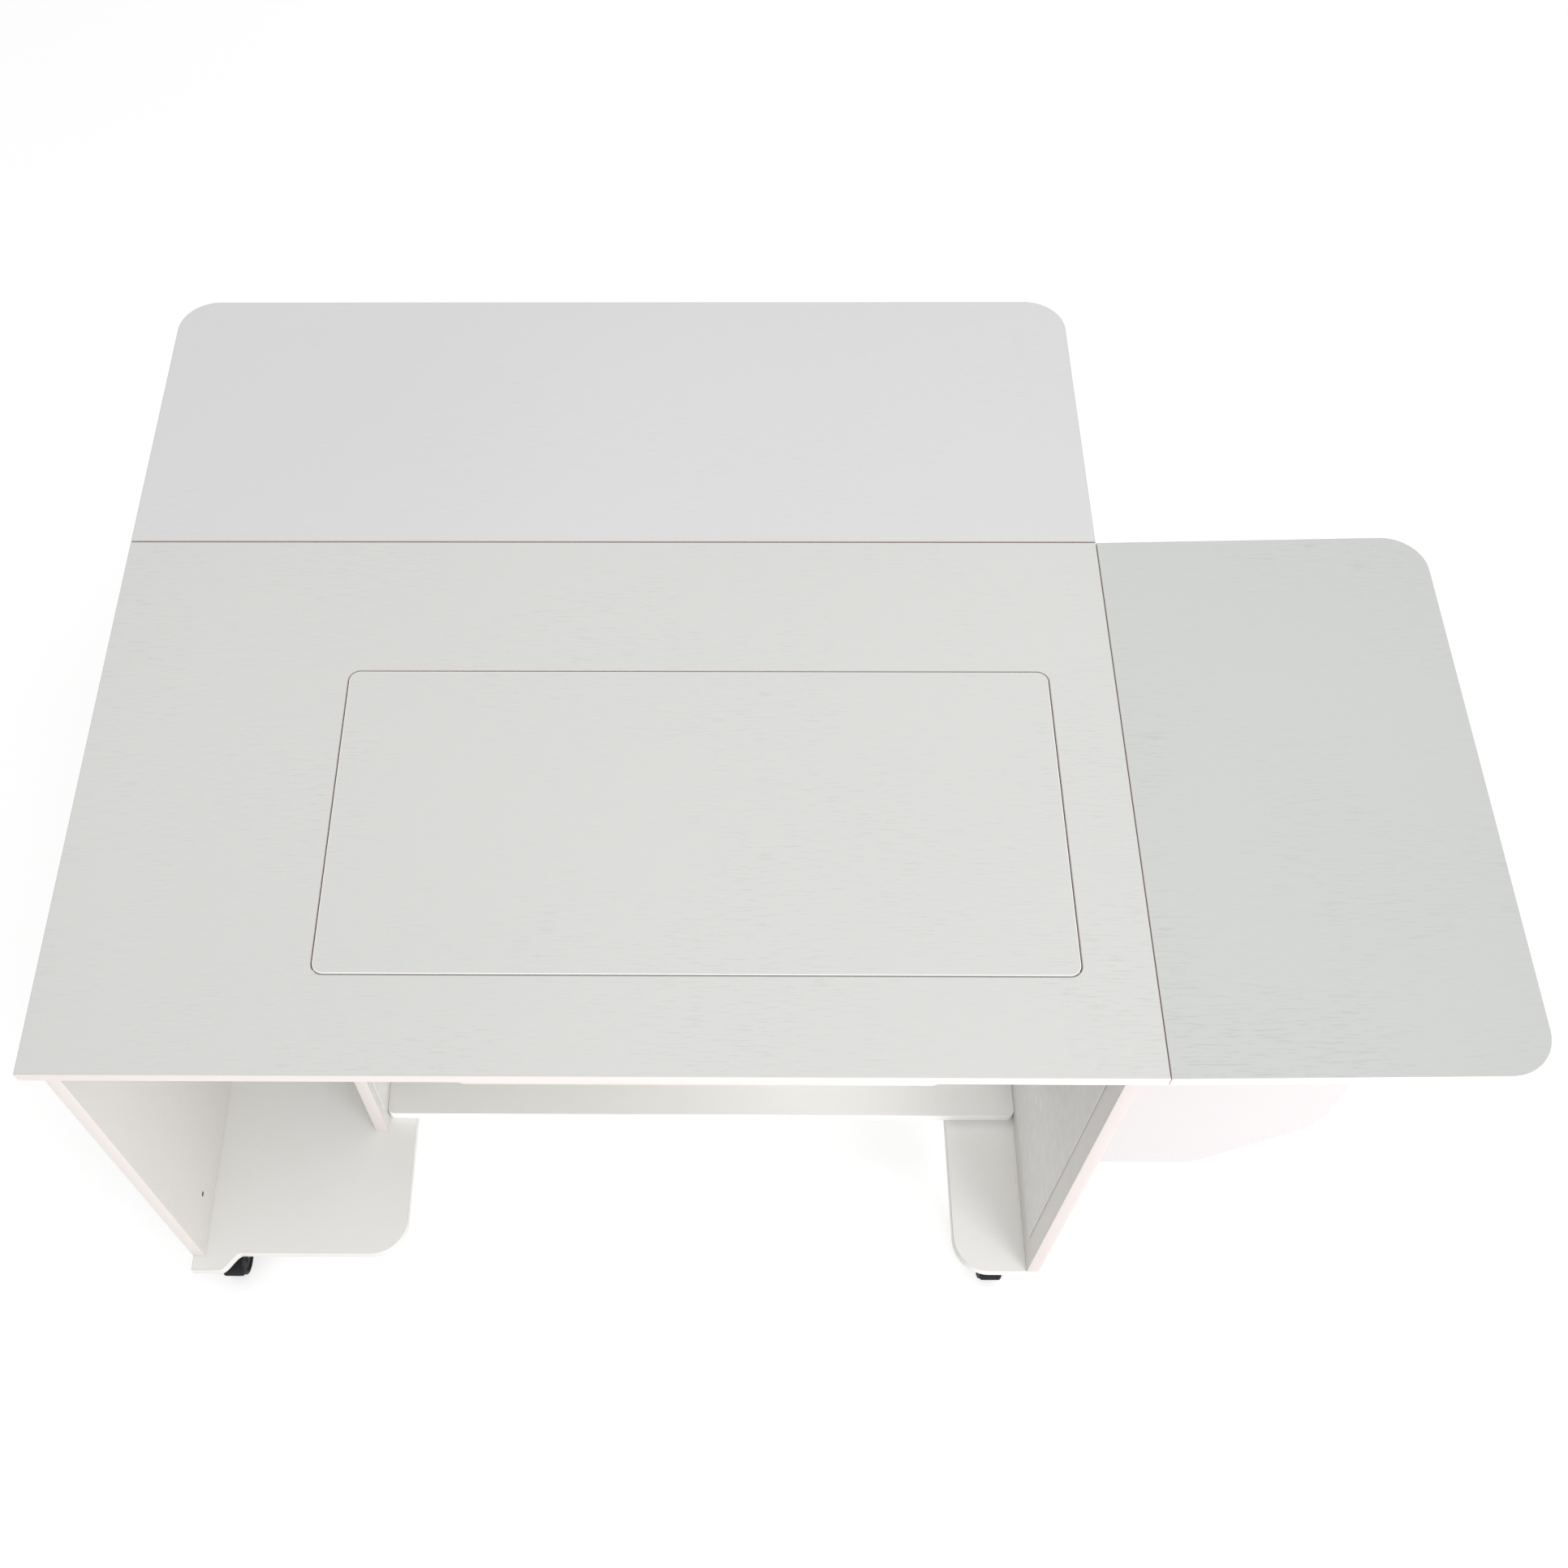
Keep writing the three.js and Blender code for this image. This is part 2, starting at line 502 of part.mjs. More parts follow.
function casterPieces() {
  const { wheel, tread, web, hood, axle, stem } = CASTER;
  const plateTop = BASE_BOTTOM - GAP;
  const plateHalf = CASTER.plate / 2;
  const plateInside = plateTop - CASTER.plateThick / 2;
  const axleY = -CASTER.trail;
  const half = web + GAP + tread;
  const across = (radius, from, to, sides) => rod('x', radius, from, to, axleY, wheel, sides);
  const upright = (radius, from, to, sides) => rod('z', radius, from, to, 0, 0, sides);

  const mount = join(
    block(-plateHalf, plateHalf, -plateHalf, plateHalf, plateTop - CASTER.plateThick, plateTop),
    upright(CASTER.collar, plateTop - CASTER.collarDrop, plateInside, TUBE_SIDES),
    upright(stem, CASTER.stemBottom, plateInside, PIN_SIDES),
  );

  // hood that wraps the wheels from the stem's side over to a low front lip, on a web between them
  const hoodStart = THREE.MathUtils.degToRad(CASTER.hoodStart);
  const hoodEnd = THREE.MathUtils.degToRad(CASTER.hoodEnd);
  const arc = new THREE.Shape();
  arc.absarc(0, 0, hood, hoodStart, hoodEnd);
  arc.absarc(0, 0, wheel + OVERCUT, hoodEnd, hoodStart, true);
  arc.closePath();
  const cover = new THREE.ExtrudeGeometry(arc, {
    depth: 2 * half, bevelEnabled: false, curveSegments: 14,
  }).rotateX(Math.PI / 2).rotateZ(Math.PI / 2).translate(-half, axleY, wheel);
  const pastHood = hood + OVERCUT;
  const body = cut(
    join(
      cover,
      across(hood - CASTER.webDrop, -web, web, WHEEL_SIDES),
      block(-web, web, -CASTER.boss, CASTER.boss, CASTER.bossBottom,
        plateTop - CASTER.collarDrop - GAP),
      across(axle, -half, half, PIN_SIDES),
    ),
    upright(stem + GAP, CASTER.stemBottom - 1.5, plateTop, PIN_SIDES),
    block(-half - OVERCUT, half + OVERCUT, axleY - pastHood, axleY + pastHood, -wheel,
      CASTER.lipHeight),
  );

  const wheels = [-half, web + GAP].map((from) => cut(
    join(across(wheel, from + CASTER.tyreEase, from + tread - CASTER.tyreEase, WHEEL_SIDES),
      across(wheel - CASTER.rimDrop, from, from + tread, WHEEL_SIDES)),
    across(axle + GAP, from - OVERCUT, from + tread + OVERCUT, PIN_SIDES),
  ));
  return { mount, body, wheels };
}

function addCasters() {
  const { mount, body, wheels } = casterPieces();
  for (const { name, x, y, turn } of CASTERS) {
    const caster = new THREE.Group();
    caster.position.set(x, y, 0);
    caster.rotation.z = turn;
    table.add(caster);
    add(`caster_${name}_mount`, mount, blackNylon, caster);
    add(`caster_${name}_hood`, body, blackNylon, caster);
    add(`caster_${name}_wheel_a`, wheels[0], blackTyre, caster);
    add(`caster_${name}_wheel_b`, wheels[1], blackTyre, caster);
  }
}

addTops();
addCabinet();
addFeet();
addLeafHinges();
addStruts();
addGate();
addLift();
addCasters();

export default table;
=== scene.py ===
"""White sewing table on casters: laminated boards, hinges, lift, struts and casters.

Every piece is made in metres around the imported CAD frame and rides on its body.
"""
import json
import math

import bmesh
import bpy
from mathutils import Matrix, Vector


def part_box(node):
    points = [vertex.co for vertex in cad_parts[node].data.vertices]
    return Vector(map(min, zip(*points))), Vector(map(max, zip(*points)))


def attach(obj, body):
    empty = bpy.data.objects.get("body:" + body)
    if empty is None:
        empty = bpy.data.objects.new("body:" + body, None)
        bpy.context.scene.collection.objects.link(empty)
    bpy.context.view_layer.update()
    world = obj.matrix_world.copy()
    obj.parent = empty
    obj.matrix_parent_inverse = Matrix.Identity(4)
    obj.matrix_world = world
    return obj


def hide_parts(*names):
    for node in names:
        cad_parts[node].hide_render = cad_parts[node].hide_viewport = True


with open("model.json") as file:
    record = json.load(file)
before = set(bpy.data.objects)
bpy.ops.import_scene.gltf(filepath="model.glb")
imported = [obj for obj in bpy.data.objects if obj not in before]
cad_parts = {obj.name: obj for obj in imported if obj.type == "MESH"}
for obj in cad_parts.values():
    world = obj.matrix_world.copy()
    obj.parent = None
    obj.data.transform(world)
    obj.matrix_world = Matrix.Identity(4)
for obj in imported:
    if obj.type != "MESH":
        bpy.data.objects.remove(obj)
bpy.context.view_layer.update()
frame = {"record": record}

MM = 0.001
RECORD = frame["record"]
BODY = {node: body for body, nodes in RECORD["behaviour"]["bodies"].items() for node in nodes}
SLOT = {row["node"]: row["material_slot"] for row in RECORD["subparts"]}
JOINTS = {joint["name"]: joint for joint in RECORD["behaviour"]["joints"]}

# the right leaf turns on this line and rests with its outer edge a little high
RIGHT_PIN = Vector(JOINTS["right_leaf_tilt"]["pos_m"])
RIGHT_LEAF_RISE = math.radians(1.7)
ON_RIGHT_LEAF = (Matrix.Translation((RIGHT_PIN.x, 0, RIGHT_PIN.z))
                 @ Matrix.Rotation(-RIGHT_LEAF_RISE, 4, "Y"))

BOARD_EASE = 0.9 * MM      # rounding along a banded edge
STEEL_EASE = 0.25 * MM     # rounding along a sheet steel edge
TONGUE_EASE = 0.1 * MM     # rounding where a hinge's plate runs into its knuckle
MOULDED_EASE = 0.6 * MM    # rounding along a moulded nylon edge
PIN_RADIUS = 1.4 * MM
PIN_BORE = 1.7 * MM        # bore of a moving knuckle
FLAT_ABOVE = 0.999         # a face counts as square to an axis when its normal has more than this along it


# ---- Finishes ----
class Value:
    """A shader socket that takes part in arithmetic by adding Math nodes."""

    def __init__(self, finish, socket):
        self.finish = finish
        self.socket = socket

    def maths(self, operation, first, second):
        return self.finish.node("ShaderNodeMath", {"operation": operation}, {0: first, 1: second})["Value"]

    def __add__(self, other):
        return self.maths("ADD", self, other)

    def __sub__(self, other):
        return self.maths("SUBTRACT", self, other)

    def __mul__(self, other):
        return self.maths("MULTIPLY", self, other)

    def __rsub__(self, other):
        return self.maths("SUBTRACT", other, self)

    __radd__ = __add__
    __rmul__ = __mul__


class Outputs:
    """The outputs of a node, by name or by place."""

    def __init__(self, finish, node):
        self.finish = finish
        self.sockets = node.outputs

    def __getitem__(self, name):
        return Value(self.finish, self.sockets[name])


SHADER_SOCKETS = {"metallic": "Metallic", "specular_ior_level": "Specular IOR Level"}

# places of a Mix node's colour sockets
MIX_FIRST_COLOUR, MIX_SECOND_COLOUR, MIX_RESULT_COLOUR = 6, 7, 2


class Finish:
    """A material on Principled BSDF, read in Object coordinates."""

    def __init__(self, name, **constants):
        self.material = bpy.data.materials.new(name)
        self.material.use_nodes = True
        self.tree = self.material.node_tree
        self.shader = self.tree.nodes["Principled BSDF"]
        for socket, value in constants.items():
            self.shader.inputs[SHADER_SOCKETS[socket]].default_value = value
        self.place = self.node("ShaderNodeTexCoord")["Object"]

    def node(self, kind, settings=None, sockets=None):
        node = self.tree.nodes.new(kind)
        for name, value in (settings or {}).items():
            if name == "stops":
                self.set_stops(node.color_ramp, value)
            else:
                setattr(node, name, value)
        for name, value in (sockets or {}).items():
            self.feed(node.inputs[name], value)
        return Outputs(self, node)

    def set_stops(self, ramp, stops):
        for index, (position, level) in enumerate(stops):
            stop = ramp.elements[index] if index < 2 else ramp.elements.new(position)
            stop.position = position
            stop.color = (level, level, level, 1)

    def feed(self, socket, value):
        if isinstance(value, Value):
            self.tree.links.new(value.socket, socket)
        else:
            socket.default_value = value

    def scaled(self, scale):
        return self.node("ShaderNodeMapping", {}, {"Vector": self.place, "Scale": scale})["Vector"]

    def noise(self, scale, detail=2.0, vector=None, roughness=0.5):
        return self.node("ShaderNodeTexNoise", {}, {
            "Vector": vector or self.place, "Scale": scale, "Detail": detail, "Roughness": roughness,
        })["Fac"]

    def ramp(self, value, *stops):
        return self.node("ShaderNodeValToRGB", {"stops": stops}, {"Fac": value})["Color"]

    def blend(self, mask, dark, light):
        mixed = self.node("ShaderNodeMix", {"data_type": "RGBA"}, {
            "Factor": mask, MIX_FIRST_COLOUR: (*dark, 1), MIX_SECOND_COLOUR: (*light, 1),
        })
        return mixed[MIX_RESULT_COLOUR]

    def colour(self, value):
        self.feed(self.shader.inputs["Base Color"], value)

    def roughness(self, value):
        self.feed(self.shader.inputs["Roughness"], value)

    def bump(self, height, strength, distance):
        normal = self.node("ShaderNodeBump", {}, {
            "Height": height, "Strength": strength, "Distance": distance,
        })["Normal"]
        self.feed(self.shader.inputs["Normal"], normal)


# scale of the embossed grain: a small number along it and large ones across it
GRAIN_ALONG_X = (40, 500, 500)
GRAIN_ALONG_Z = (500, 500, 40)


def make_laminate(name, light, grain, depth):
    """White melamine with short embossed dashes along the grain and a slow drift of tone."""
    finish = Finish(name)
    dash_noise = finish.noise(1.0, 2.0, finish.scaled(grain), 0.6)
    dashes = finish.ramp(dash_noise, (0.55, 0.0), (0.68, 1.0))
    patches = finish.ramp(finish.noise(6.0, 2.0), (0.38, 0.25), (0.64, 1.0))
    drift = finish.ramp(finish.noise(1.5, 1.0), (0.3, 0.0), (0.7, 1.0))
    pressed = dashes * patches
    shade = 0.22 * drift + 0.78 * (1 - depth * pressed)
    dark = tuple(channel * 0.9 for channel in light)
    finish.colour(finish.blend(shade, dark, light))
    finish.roughness(0.42 + 0.14 * depth * pressed + 0.04 * drift)
    finish.bump(1 - pressed, 0.22 * depth, 0.0004)
    return finish.material


def make_band(name, light):
    """Edge band: smoother than the boards' faces, with faint marks of the trimmer."""
    finish = Finish(name)
    speckle = finish.noise(900.0, 2.0)
    drift = finish.noise(9.0, 1.0)
    finish.colour(finish.blend(drift, tuple(channel * 0.975 for channel in light), light))
    finish.roughness(0.3 + 0.12 * speckle)
    finish.bump(speckle, 0.05, 0.0001)
    return finish.material


def make_steel(name, light, roughness, metallic, brushed):
    """Plated or painted steel, with a fine grain and a few dull patches."""
    finish = Finish(name, metallic=metallic)
    fine = finish.noise(1.0, 3.0, finish.scaled(brushed))
    dull = finish.ramp(finish.noise(60.0, 3.0), (0.35, 0.0), (0.75, 1.0))
    finish.colour(finish.blend(dull, tuple(channel * 0.88 for channel in light), light))
    finish.roughness(roughness + 0.12 * dull + 0.06 * fine)
    finish.bump(fine, 0.08, 0.0001)
    return finish.material


def make_nylon(name, light, texture, roughness, sheen=0.3):
    """Moulded black plastic or rubber, with a fine spark texture and slightly dusty patches."""
    finish = Finish(name, specular_ior_level=sheen)
    spark = finish.noise(texture, 3.0)
    dust = finish.ramp(finish.noise(45.0, 4.0), (0.45, 0.0), (0.8, 1.0))
    finish.colour(finish.blend(dust, light, tuple(channel * 1.7 for channel in light)))
    finish.roughness(roughness + 0.15 * dust + 0.08 * spark)
    finish.bump(spark, 0.2, 0.00015)
    return finish.material


def make_raw_board(name):
    """Chipboard inside a drilled hole."""
    finish = Finish(name)
    chips = finish.noise(700.0, 3.0)
    finish.colour(finish.blend(chips, (0.05, 0.035, 0.02), (0.22, 0.16, 0.1)))
    finish.roughness(0.8 + 0.1 * chips)
    finish.bump(chips, 0.4, 0.0005)
    return finish.material


TOP_FACE = make_laminate("top laminate", (0.64, 0.643, 0.624), GRAIN_ALONG_X, 1.0)
# the rear leaf's laminate is a little cooler and lighter than the top's: painted cool light falling on the
# rear leaf
REAR_LEAF_COOL_LIT_FACE = make_laminate("rear leaf laminate with painted cool light", (0.655, 0.66, 0.655), GRAIN_ALONG_X, 0.5)
# the right leaf's laminate is darker than the top's: painted shade for the leaf tilted away from the light
RIGHT_LEAF_SHADED_FACE = make_laminate("right leaf laminate with painted shade", (0.57, 0.58, 0.565), GRAIN_ALONG_X, 1.0)
SIDE_FACE = make_laminate("side laminate", (0.6, 0.583, 0.567), GRAIN_ALONG_Z, 0.35)
# the shelf laminate is much lighter than the other boards: painted light on the feet, bridge, cleats and
# platform, which lie in shade under the top
FLAT_LIT_FACE = make_laminate("shelf laminate with painted light", (0.85, 0.845, 0.822), GRAIN_ALONG_X, 0.3)
# the gate's laminate is darker than the other boards: painted shade that holds down the face the front
# lamps strike; its faint pink tint is its own
GATE_SHADED_FACE = make_laminate("gate laminate with painted shade", (0.46, 0.44, 0.444), GRAIN_ALONG_Z, 0.3)
TOP_BAND = make_band("top edge band", (0.6, 0.553, 0.535))
CABINET_BAND = make_band("cabinet edge band", (0.6, 0.553, 0.535))
# the right side's edge band is darker than the cabinet band: painted shade on the front edge that the
# front right softbox lights hardest
RIGHT_SHADED_BAND = make_band("right side edge band with painted shade", (0.47, 0.42, 0.407))
FOOT_BAND = make_band("foot edge band", (0.62, 0.6, 0.588))
# this edge band is much lighter than the others: painted light on the bridge board's front edge, which the
# lamps hardly reach, and a painted highlight along the insert's edge
LIT_BAND = make_band("edge band with painted light", (0.93, 0.925, 0.92))
PLATED = make_steel("zinc plate", (0.62, 0.63, 0.64), 0.28, 1.0, (900, 900, 60))
PAINTED = make_steel("white powder coat", (0.68, 0.67, 0.655), 0.42, 0.0, (1500, 1500, 1500))
POLISHED = make_steel("polished rod", (0.75, 0.75, 0.76), 0.12, 1.0, (900, 900, 40))
NYLON = make_nylon("black nylon", (0.006, 0.007, 0.008), 1600.0, 0.3, 0.14)
TREAD = make_nylon("grey-black tread", (0.01, 0.0105, 0.011), 900.0, 0.5, 0.12)
GAS_BLACK = make_nylon("black spring tube", (0.014, 0.014, 0.015), 700.0, 0.25)
RAW_BOARD = make_raw_board("raw chipboard")


# ---- Making meshes ----
def new_object(name, mesh):
    piece = bpy.data.objects.new(name, mesh)
    bpy.context.scene.collection.objects.link(piece)
    return piece


def evaluated_mesh(piece):
    graph = bpy.context.evaluated_depsgraph_get()
    return bpy.data.meshes.new_from_object(piece.evaluated_get(graph))


def drop_object(piece):
    bpy.data.objects.remove(piece, do_unlink=True)


def tidy_mesh(mesh, move=None):
    """Merges doubles, moves the mesh and points its faces outwards."""
    solid = bmesh.new()
    solid.from_mesh(mesh)
    bmesh.ops.remove_doubles(solid, verts=solid.verts, dist=1e-6)
    if move is not None:
        bmesh.ops.transform(solid, matrix=move, verts=solid.verts)
    bmesh.ops.recalc_face_normals(solid, faces=solid.faces)
    solid.to_mesh(mesh)
    solid.free()
    return mesh


# how an outline's (u, v) and its thickness w lie in the table's axes
PLANES = {
    "x": Matrix(((0, 0, 1, 0), (1, 0, 0, 0), (0, 1, 0, 0), (0, 0, 0, 1))),
    "y": Matrix(((1, 0, 0, 0), (0, 0, 1, 0), (0, 1, 0, 0), (0, 0, 0, 1))),
    "z": Matrix.Identity(4),
}


def cut_sheet(name, plane, outline, low, high, ease, materials, holes=()):
    """A sheet cut to an outline, with eased edges: materials are its face's and its edge's."""
    curve = bpy.data.curves.new(name, "CURVE")
    curve.dimensions = "2D"
    curve.fill_mode = "BOTH"
    curve.extrude = (high - low) / 2 - ease
    curve.bevel_depth = ease
    curve.bevel_resolution = 2
    curve.offset = -ease
    for loop in (outline, *holes):
        spline = curve.splines.new("POLY")
        spline.points.add(len(loop) - 1)
        for point, (u, v) in zip(spline.points, loop):
            point.co = (u, v, 0, 1)
        spline.use_cyclic_u = True
    blank = new_object(name, curve)
    mesh = evaluated_mesh(blank)
    drop_object(blank)
    tidy_mesh(mesh, PLANES[plane] @ Matrix.Translation((0, 0, (low + high) / 2)))
    mesh.materials.clear()
    for material in materials:
        mesh.materials.append(material)
    mesh.set_sharp_from_angle(angle=math.radians(40))
    across = "xyz".index(plane)
    for polygon in mesh.polygons:
        flat = abs(polygon.normal[across]) > FLAT_ABOVE
        polygon.material_index = 0 if flat or len(materials) == 1 else 1
        polygon.use_smooth = not flat
    return mesh


def arc(centre_u, centre_v, radius, start, end, steps=12):
    """Points round an arc, in degrees, with both ends."""
    points = []
    for step in range(steps + 1):
        angle = math.radians(start + (end - start) * step / steps)
        points.append((centre_u + radius * math.cos(angle), centre_v + radius * math.sin(angle)))
    return points


def rounded(u0, v0, u1, v1, radii, steps=12):
    """A rectangle's outline with its own radius at each corner, from the low one, anticlockwise."""
    corners = [(u0, v0, 1, 1, 180), (u1, v0, -1, 1, 270), (u1, v1, -1, -1, 0), (u0, v1, 1, -1, 90)]
    points = []
    for (u, v, inward_u, inward_v, start), radius in zip(corners, radii):
        if radius:
            points += arc(u + inward_u * radius, v + inward_v * radius, radius, start, start + 90, steps)
        else:
            points.append((u, v))
    return points


def turned(profile, axis, centre, material, steps=40):
    """A solid of revolution: the profile's (radius, height) points run from axis to axis."""
    solid = bmesh.new()
    rings = []
    for radius, height in profile:
        if radius < 1e-7:
            rings.append([solid.verts.new((0, 0, height))])
            continue
        ring = []
        for step in range(steps):
            angle = 2 * math.pi * step / steps
            ring.append(solid.verts.new((radius * math.cos(angle), radius * math.sin(angle), height)))
        rings.append(ring)
    for lower, upper in zip(rings, rings[1:]):
        for step in range(steps):
            after = (step + 1) % steps
            corners = [lower[step % len(lower)], lower[after % len(lower)],
                       upper[after % len(upper)], upper[step % len(upper)]]
            face = list(dict.fromkeys(corners))
            if len(face) > 2:
                solid.faces.new(face)
    turn = {"x": Matrix.Rotation(math.pi / 2, 4, "Y"), "y": Matrix.Rotation(-math.pi / 2, 4, "X"),
            "z": Matrix.Identity(4)}[axis]
    bmesh.ops.remove_doubles(solid, verts=solid.verts, dist=1e-6)
    bmesh.ops.transform(solid, matrix=Matrix.Translation(centre) @ turn, verts=solid.verts)
    bmesh.ops.recalc_face_normals(solid, faces=solid.faces)
    mesh = bpy.data.meshes.new("turned")
    solid.to_mesh(mesh)
    solid.free()
    mesh.materials.append(material)
    mesh.shade_smooth()
    mesh.set_sharp_from_angle(angle=math.radians(35))
    return mesh


def joined(name, meshes):
    """One object from several meshes, keeping each one's materials."""
    materials = []
    solid = bmesh.new()
    for mesh in meshes:
        for material in mesh.materials:
            if material not in materials:
                materials.append(material)
        first = len(solid.faces)
        solid.from_mesh(mesh)
        solid.faces.ensure_lookup_table()
        for face in solid.faces[first:]:
            face.material_index = materials.index(mesh.materials[face.material_index])
    whole = bpy.data.meshes.new(name)
    solid.to_mesh(whole)
    solid.free()
    for material in materials:
        whole.materials.append(material)
    return new_object(name, whole)


def stand_for(piece, node):
    """The piece takes the place of a CAD node, on its body."""
    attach(piece, BODY[node])
    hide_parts(node)
    return piece


def board(node, plane, outline=None, materials=(SIDE_FACE, CABINET_BAND), ease=BOARD_EASE, holes=()):
    """A banded board over a CAD node's own box, a plain rectangle if no outline is given."""
    low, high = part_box(node)
    across = "xyz".index(plane)
    u, v = [axis for axis in range(3) if axis != across]
    if outline is None:
        outline = rounded(low[u], low[v], high[u], high[v], (0, 0, 0, 0))
    mesh = cut_sheet(node, plane, outline, low[across], high[across], ease, materials, holes)
    return stand_for(new_object(node + "_board", mesh), node)


# ---- Screws, placed by geometry nodes ----
def screw_head():
    """A countersunk-pan head with a cross recess, drawn on the XY plane and facing +Z."""
    profile = [(0, 0), (3.4, 0), (3.5, 0.25), (3.2, 0.8), (2.3, 1.25), (0.9, 1.45), (0, 1.45)]
    blank = turned([(radius * MM, height * MM) for radius, height in profile], "z", (0, 0, 0), PLATED, 20)
    head = new_object("screw head", blank)
    floor, above = 0.6 * MM, 2.2 * MM
    long, short = 1.8 * MM, 0.375 * MM
    cutters = []
    for wide, deep in ((long, short), (short, long)):
        outline = rounded(-wide, -deep, wide, deep, (0, 0, 0, 0))
        bar = cut_sheet("recess", "z", outline, floor, above, 0.05 * MM, (PLATED,))
        cutters.append(new_object("recess", bar))
    for cutter in cutters:
        cut = head.modifiers.new("recess", "BOOLEAN")
        cut.object = cutter
        cut.operation = "DIFFERENCE"
        cut.solver = "EXACT"
    mesh = evaluated_mesh(head)
    for piece in (head, *cutters):
        drop_object(piece)
    mesh.materials.clear()
    mesh.materials.append(PLATED)
    return new_object("screw head", mesh)


def screw_tree():
    """Geometry nodes that set a head on each point, turned to the point's own "facing" vector."""
    tree = bpy.data.node_groups.new("screws at points", "GeometryNodeTree")
    sockets = tree.interface
    sockets.new_socket("Geometry", in_out="INPUT", socket_type="NodeSocketGeometry")
    sockets.new_socket("Head", in_out="INPUT", socket_type="NodeSocketObject")
    sockets.new_socket("Head Size", in_out="INPUT", socket_type="NodeSocketFloat")
    sockets.new_socket("Turn Seed", in_out="INPUT", socket_type="NodeSocketInt")
    sockets.new_socket("Finish", in_out="INPUT", socket_type="NodeSocketMaterial")
    sockets.new_socket("Geometry", in_out="OUTPUT", socket_type="NodeSocketGeometry")
    nodes, link = tree.nodes, tree.links.new
    given = nodes.new("NodeGroupInput")
    result = nodes.new("NodeGroupOutput")
    source = nodes.new("GeometryNodeObjectInfo")
    facing = nodes.new("GeometryNodeInputNamedAttribute")
    facing.data_type = "FLOAT_VECTOR"
    facing.inputs["Name"].default_value = "facing"
    align = nodes.new("FunctionNodeAlignRotationToVector")
    align.axis = "Z"
    turn = nodes.new("FunctionNodeRandomValue")
    turn.data_type = "FLOAT"
    turn.inputs[3].default_value = math.pi   # the upper bound of a number; the lower one stays 0
    spin = nodes.new("FunctionNodeAxisAngleToRotation")
    both = nodes.new("FunctionNodeRotateRotation")
    both.rotation_space = "LOCAL"
    instances = nodes.new("GeometryNodeInstanceOnPoints")
    realise = nodes.new("GeometryNodeRealizeInstances")
    paint = nodes.new("GeometryNodeSetMaterial")
    link(given.outputs["Head"], source.inputs["Object"])
    link(facing.outputs["Attribute"], align.inputs["Vector"])
    link(given.outputs["Turn Seed"], turn.inputs["Seed"])
    link(turn.outputs[1], spin.inputs["Angle"])
    link(align.outputs["Rotation"], both.inputs["Rotation"])
    link(spin.outputs["Rotation"], both.inputs["Rotate By"])
    link(given.outputs["Geometry"], instances.inputs["Points"])
    link(source.outputs["Geometry"], instances.inputs["Instance"])
    link(both.outputs["Rotation"], instances.inputs["Rotation"])
    link(given.outputs["Head Size"], instances.inputs["Scale"])
    link(instances.outputs["Instances"], realise.inputs["Geometry"])
    link(realise.outputs["Geometry"], paint.inputs["Geometry"])
    link(given.outputs["Finish"], paint.inputs["Material"])
    link(paint.outputs["Geometry"], result.inputs["Geometry"])
    return tree


SCREW_HEAD = screw_head()
SCREW_TREE = screw_tree()
FIRST_TURN_SEED = 11
screw_places = {}


def screw(body, place, facing, size=1.0):
    """Notes a screw: all of a body's screws of one size are made together at the end."""
    screw_places.setdefault((body, size), []).append((Vector(place), Vector(facing)))


def drive_screws():
    """Sets a head on every noted place, one mesh for each body and size."""
    sockets = {item.name: item.identifier for item in SCREW_TREE.interface.items_tree
               if item.in_out == "INPUT"}
    for number, ((body, size), places) in enumerate(sorted(screw_places.items())):
        points = bpy.data.meshes.new("screw points")
        points.from_pydata([place for place, _ in places], [], [])
        attribute = points.attributes.new("facing", "FLOAT_VECTOR", "POINT")
        for entry, (_, facing) in zip(attribute.data, places):
            entry.vector = facing
        carrier = new_object("screw points", points)
        modifier = carrier.modifiers.new("screws", "NODES")
        modifier.node_group = SCREW_TREE
        modifier[sockets["Head"]] = SCREW_HEAD
        modifier[sockets["Head Size"]] = size
        modifier[sockets["Turn Seed"]] = FIRST_TURN_SEED + number
        modifier[sockets["Finish"]] = PLATED
        mesh = evaluated_mesh(carrier)
        drop_object(carrier)
        for polygon in mesh.polygons:
            polygon.use_smooth = False
        piece = new_object(f"{body}_screws_{number}", mesh)
        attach(piece, body)
    drop_object(SCREW_HEAD)


# ---- Camera, floor and light ----
def make_camera():
    """The camera stands in front and above, in units of the top's width from its front left corner."""
    low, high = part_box("main_top")
    unit = high.x - low.x
    corner = Vector((low.x, low.y, high.z))
    place = corner + unit * Vector((0.60667, -0.58029, 1.43570))
    pitch, yaw, roll = 1.02259, 0.02138, 0.01598
    forward = Vector((-math.sin(yaw) * math.cos(pitch), math.cos(yaw) * math.cos(pitch),
                      -math.sin(pitch)))
    right = Vector((math.cos(yaw), math.sin(yaw), 0))
    down = forward.cross(right)
    tilted_right = right * math.cos(roll) + down * math.sin(roll)
    tilted_down = down * math.cos(roll) - right * math.sin(roll)
    data = bpy.data.cameras.new("camera")
    data.sensor_width = 36.0
    data.lens = 40.70
    data.shift_x = 0.0571
    data.clip_end = 60.0
    camera = bpy.data.objects.new("camera", data)
    axes = Matrix((tilted_right, -tilted_down, -forward)).transposed().to_4x4()
    camera.matrix_world = Matrix.Translation(place) @ axes
    bpy.context.scene.collection.objects.link(camera)
    bpy.context.scene.camera = camera


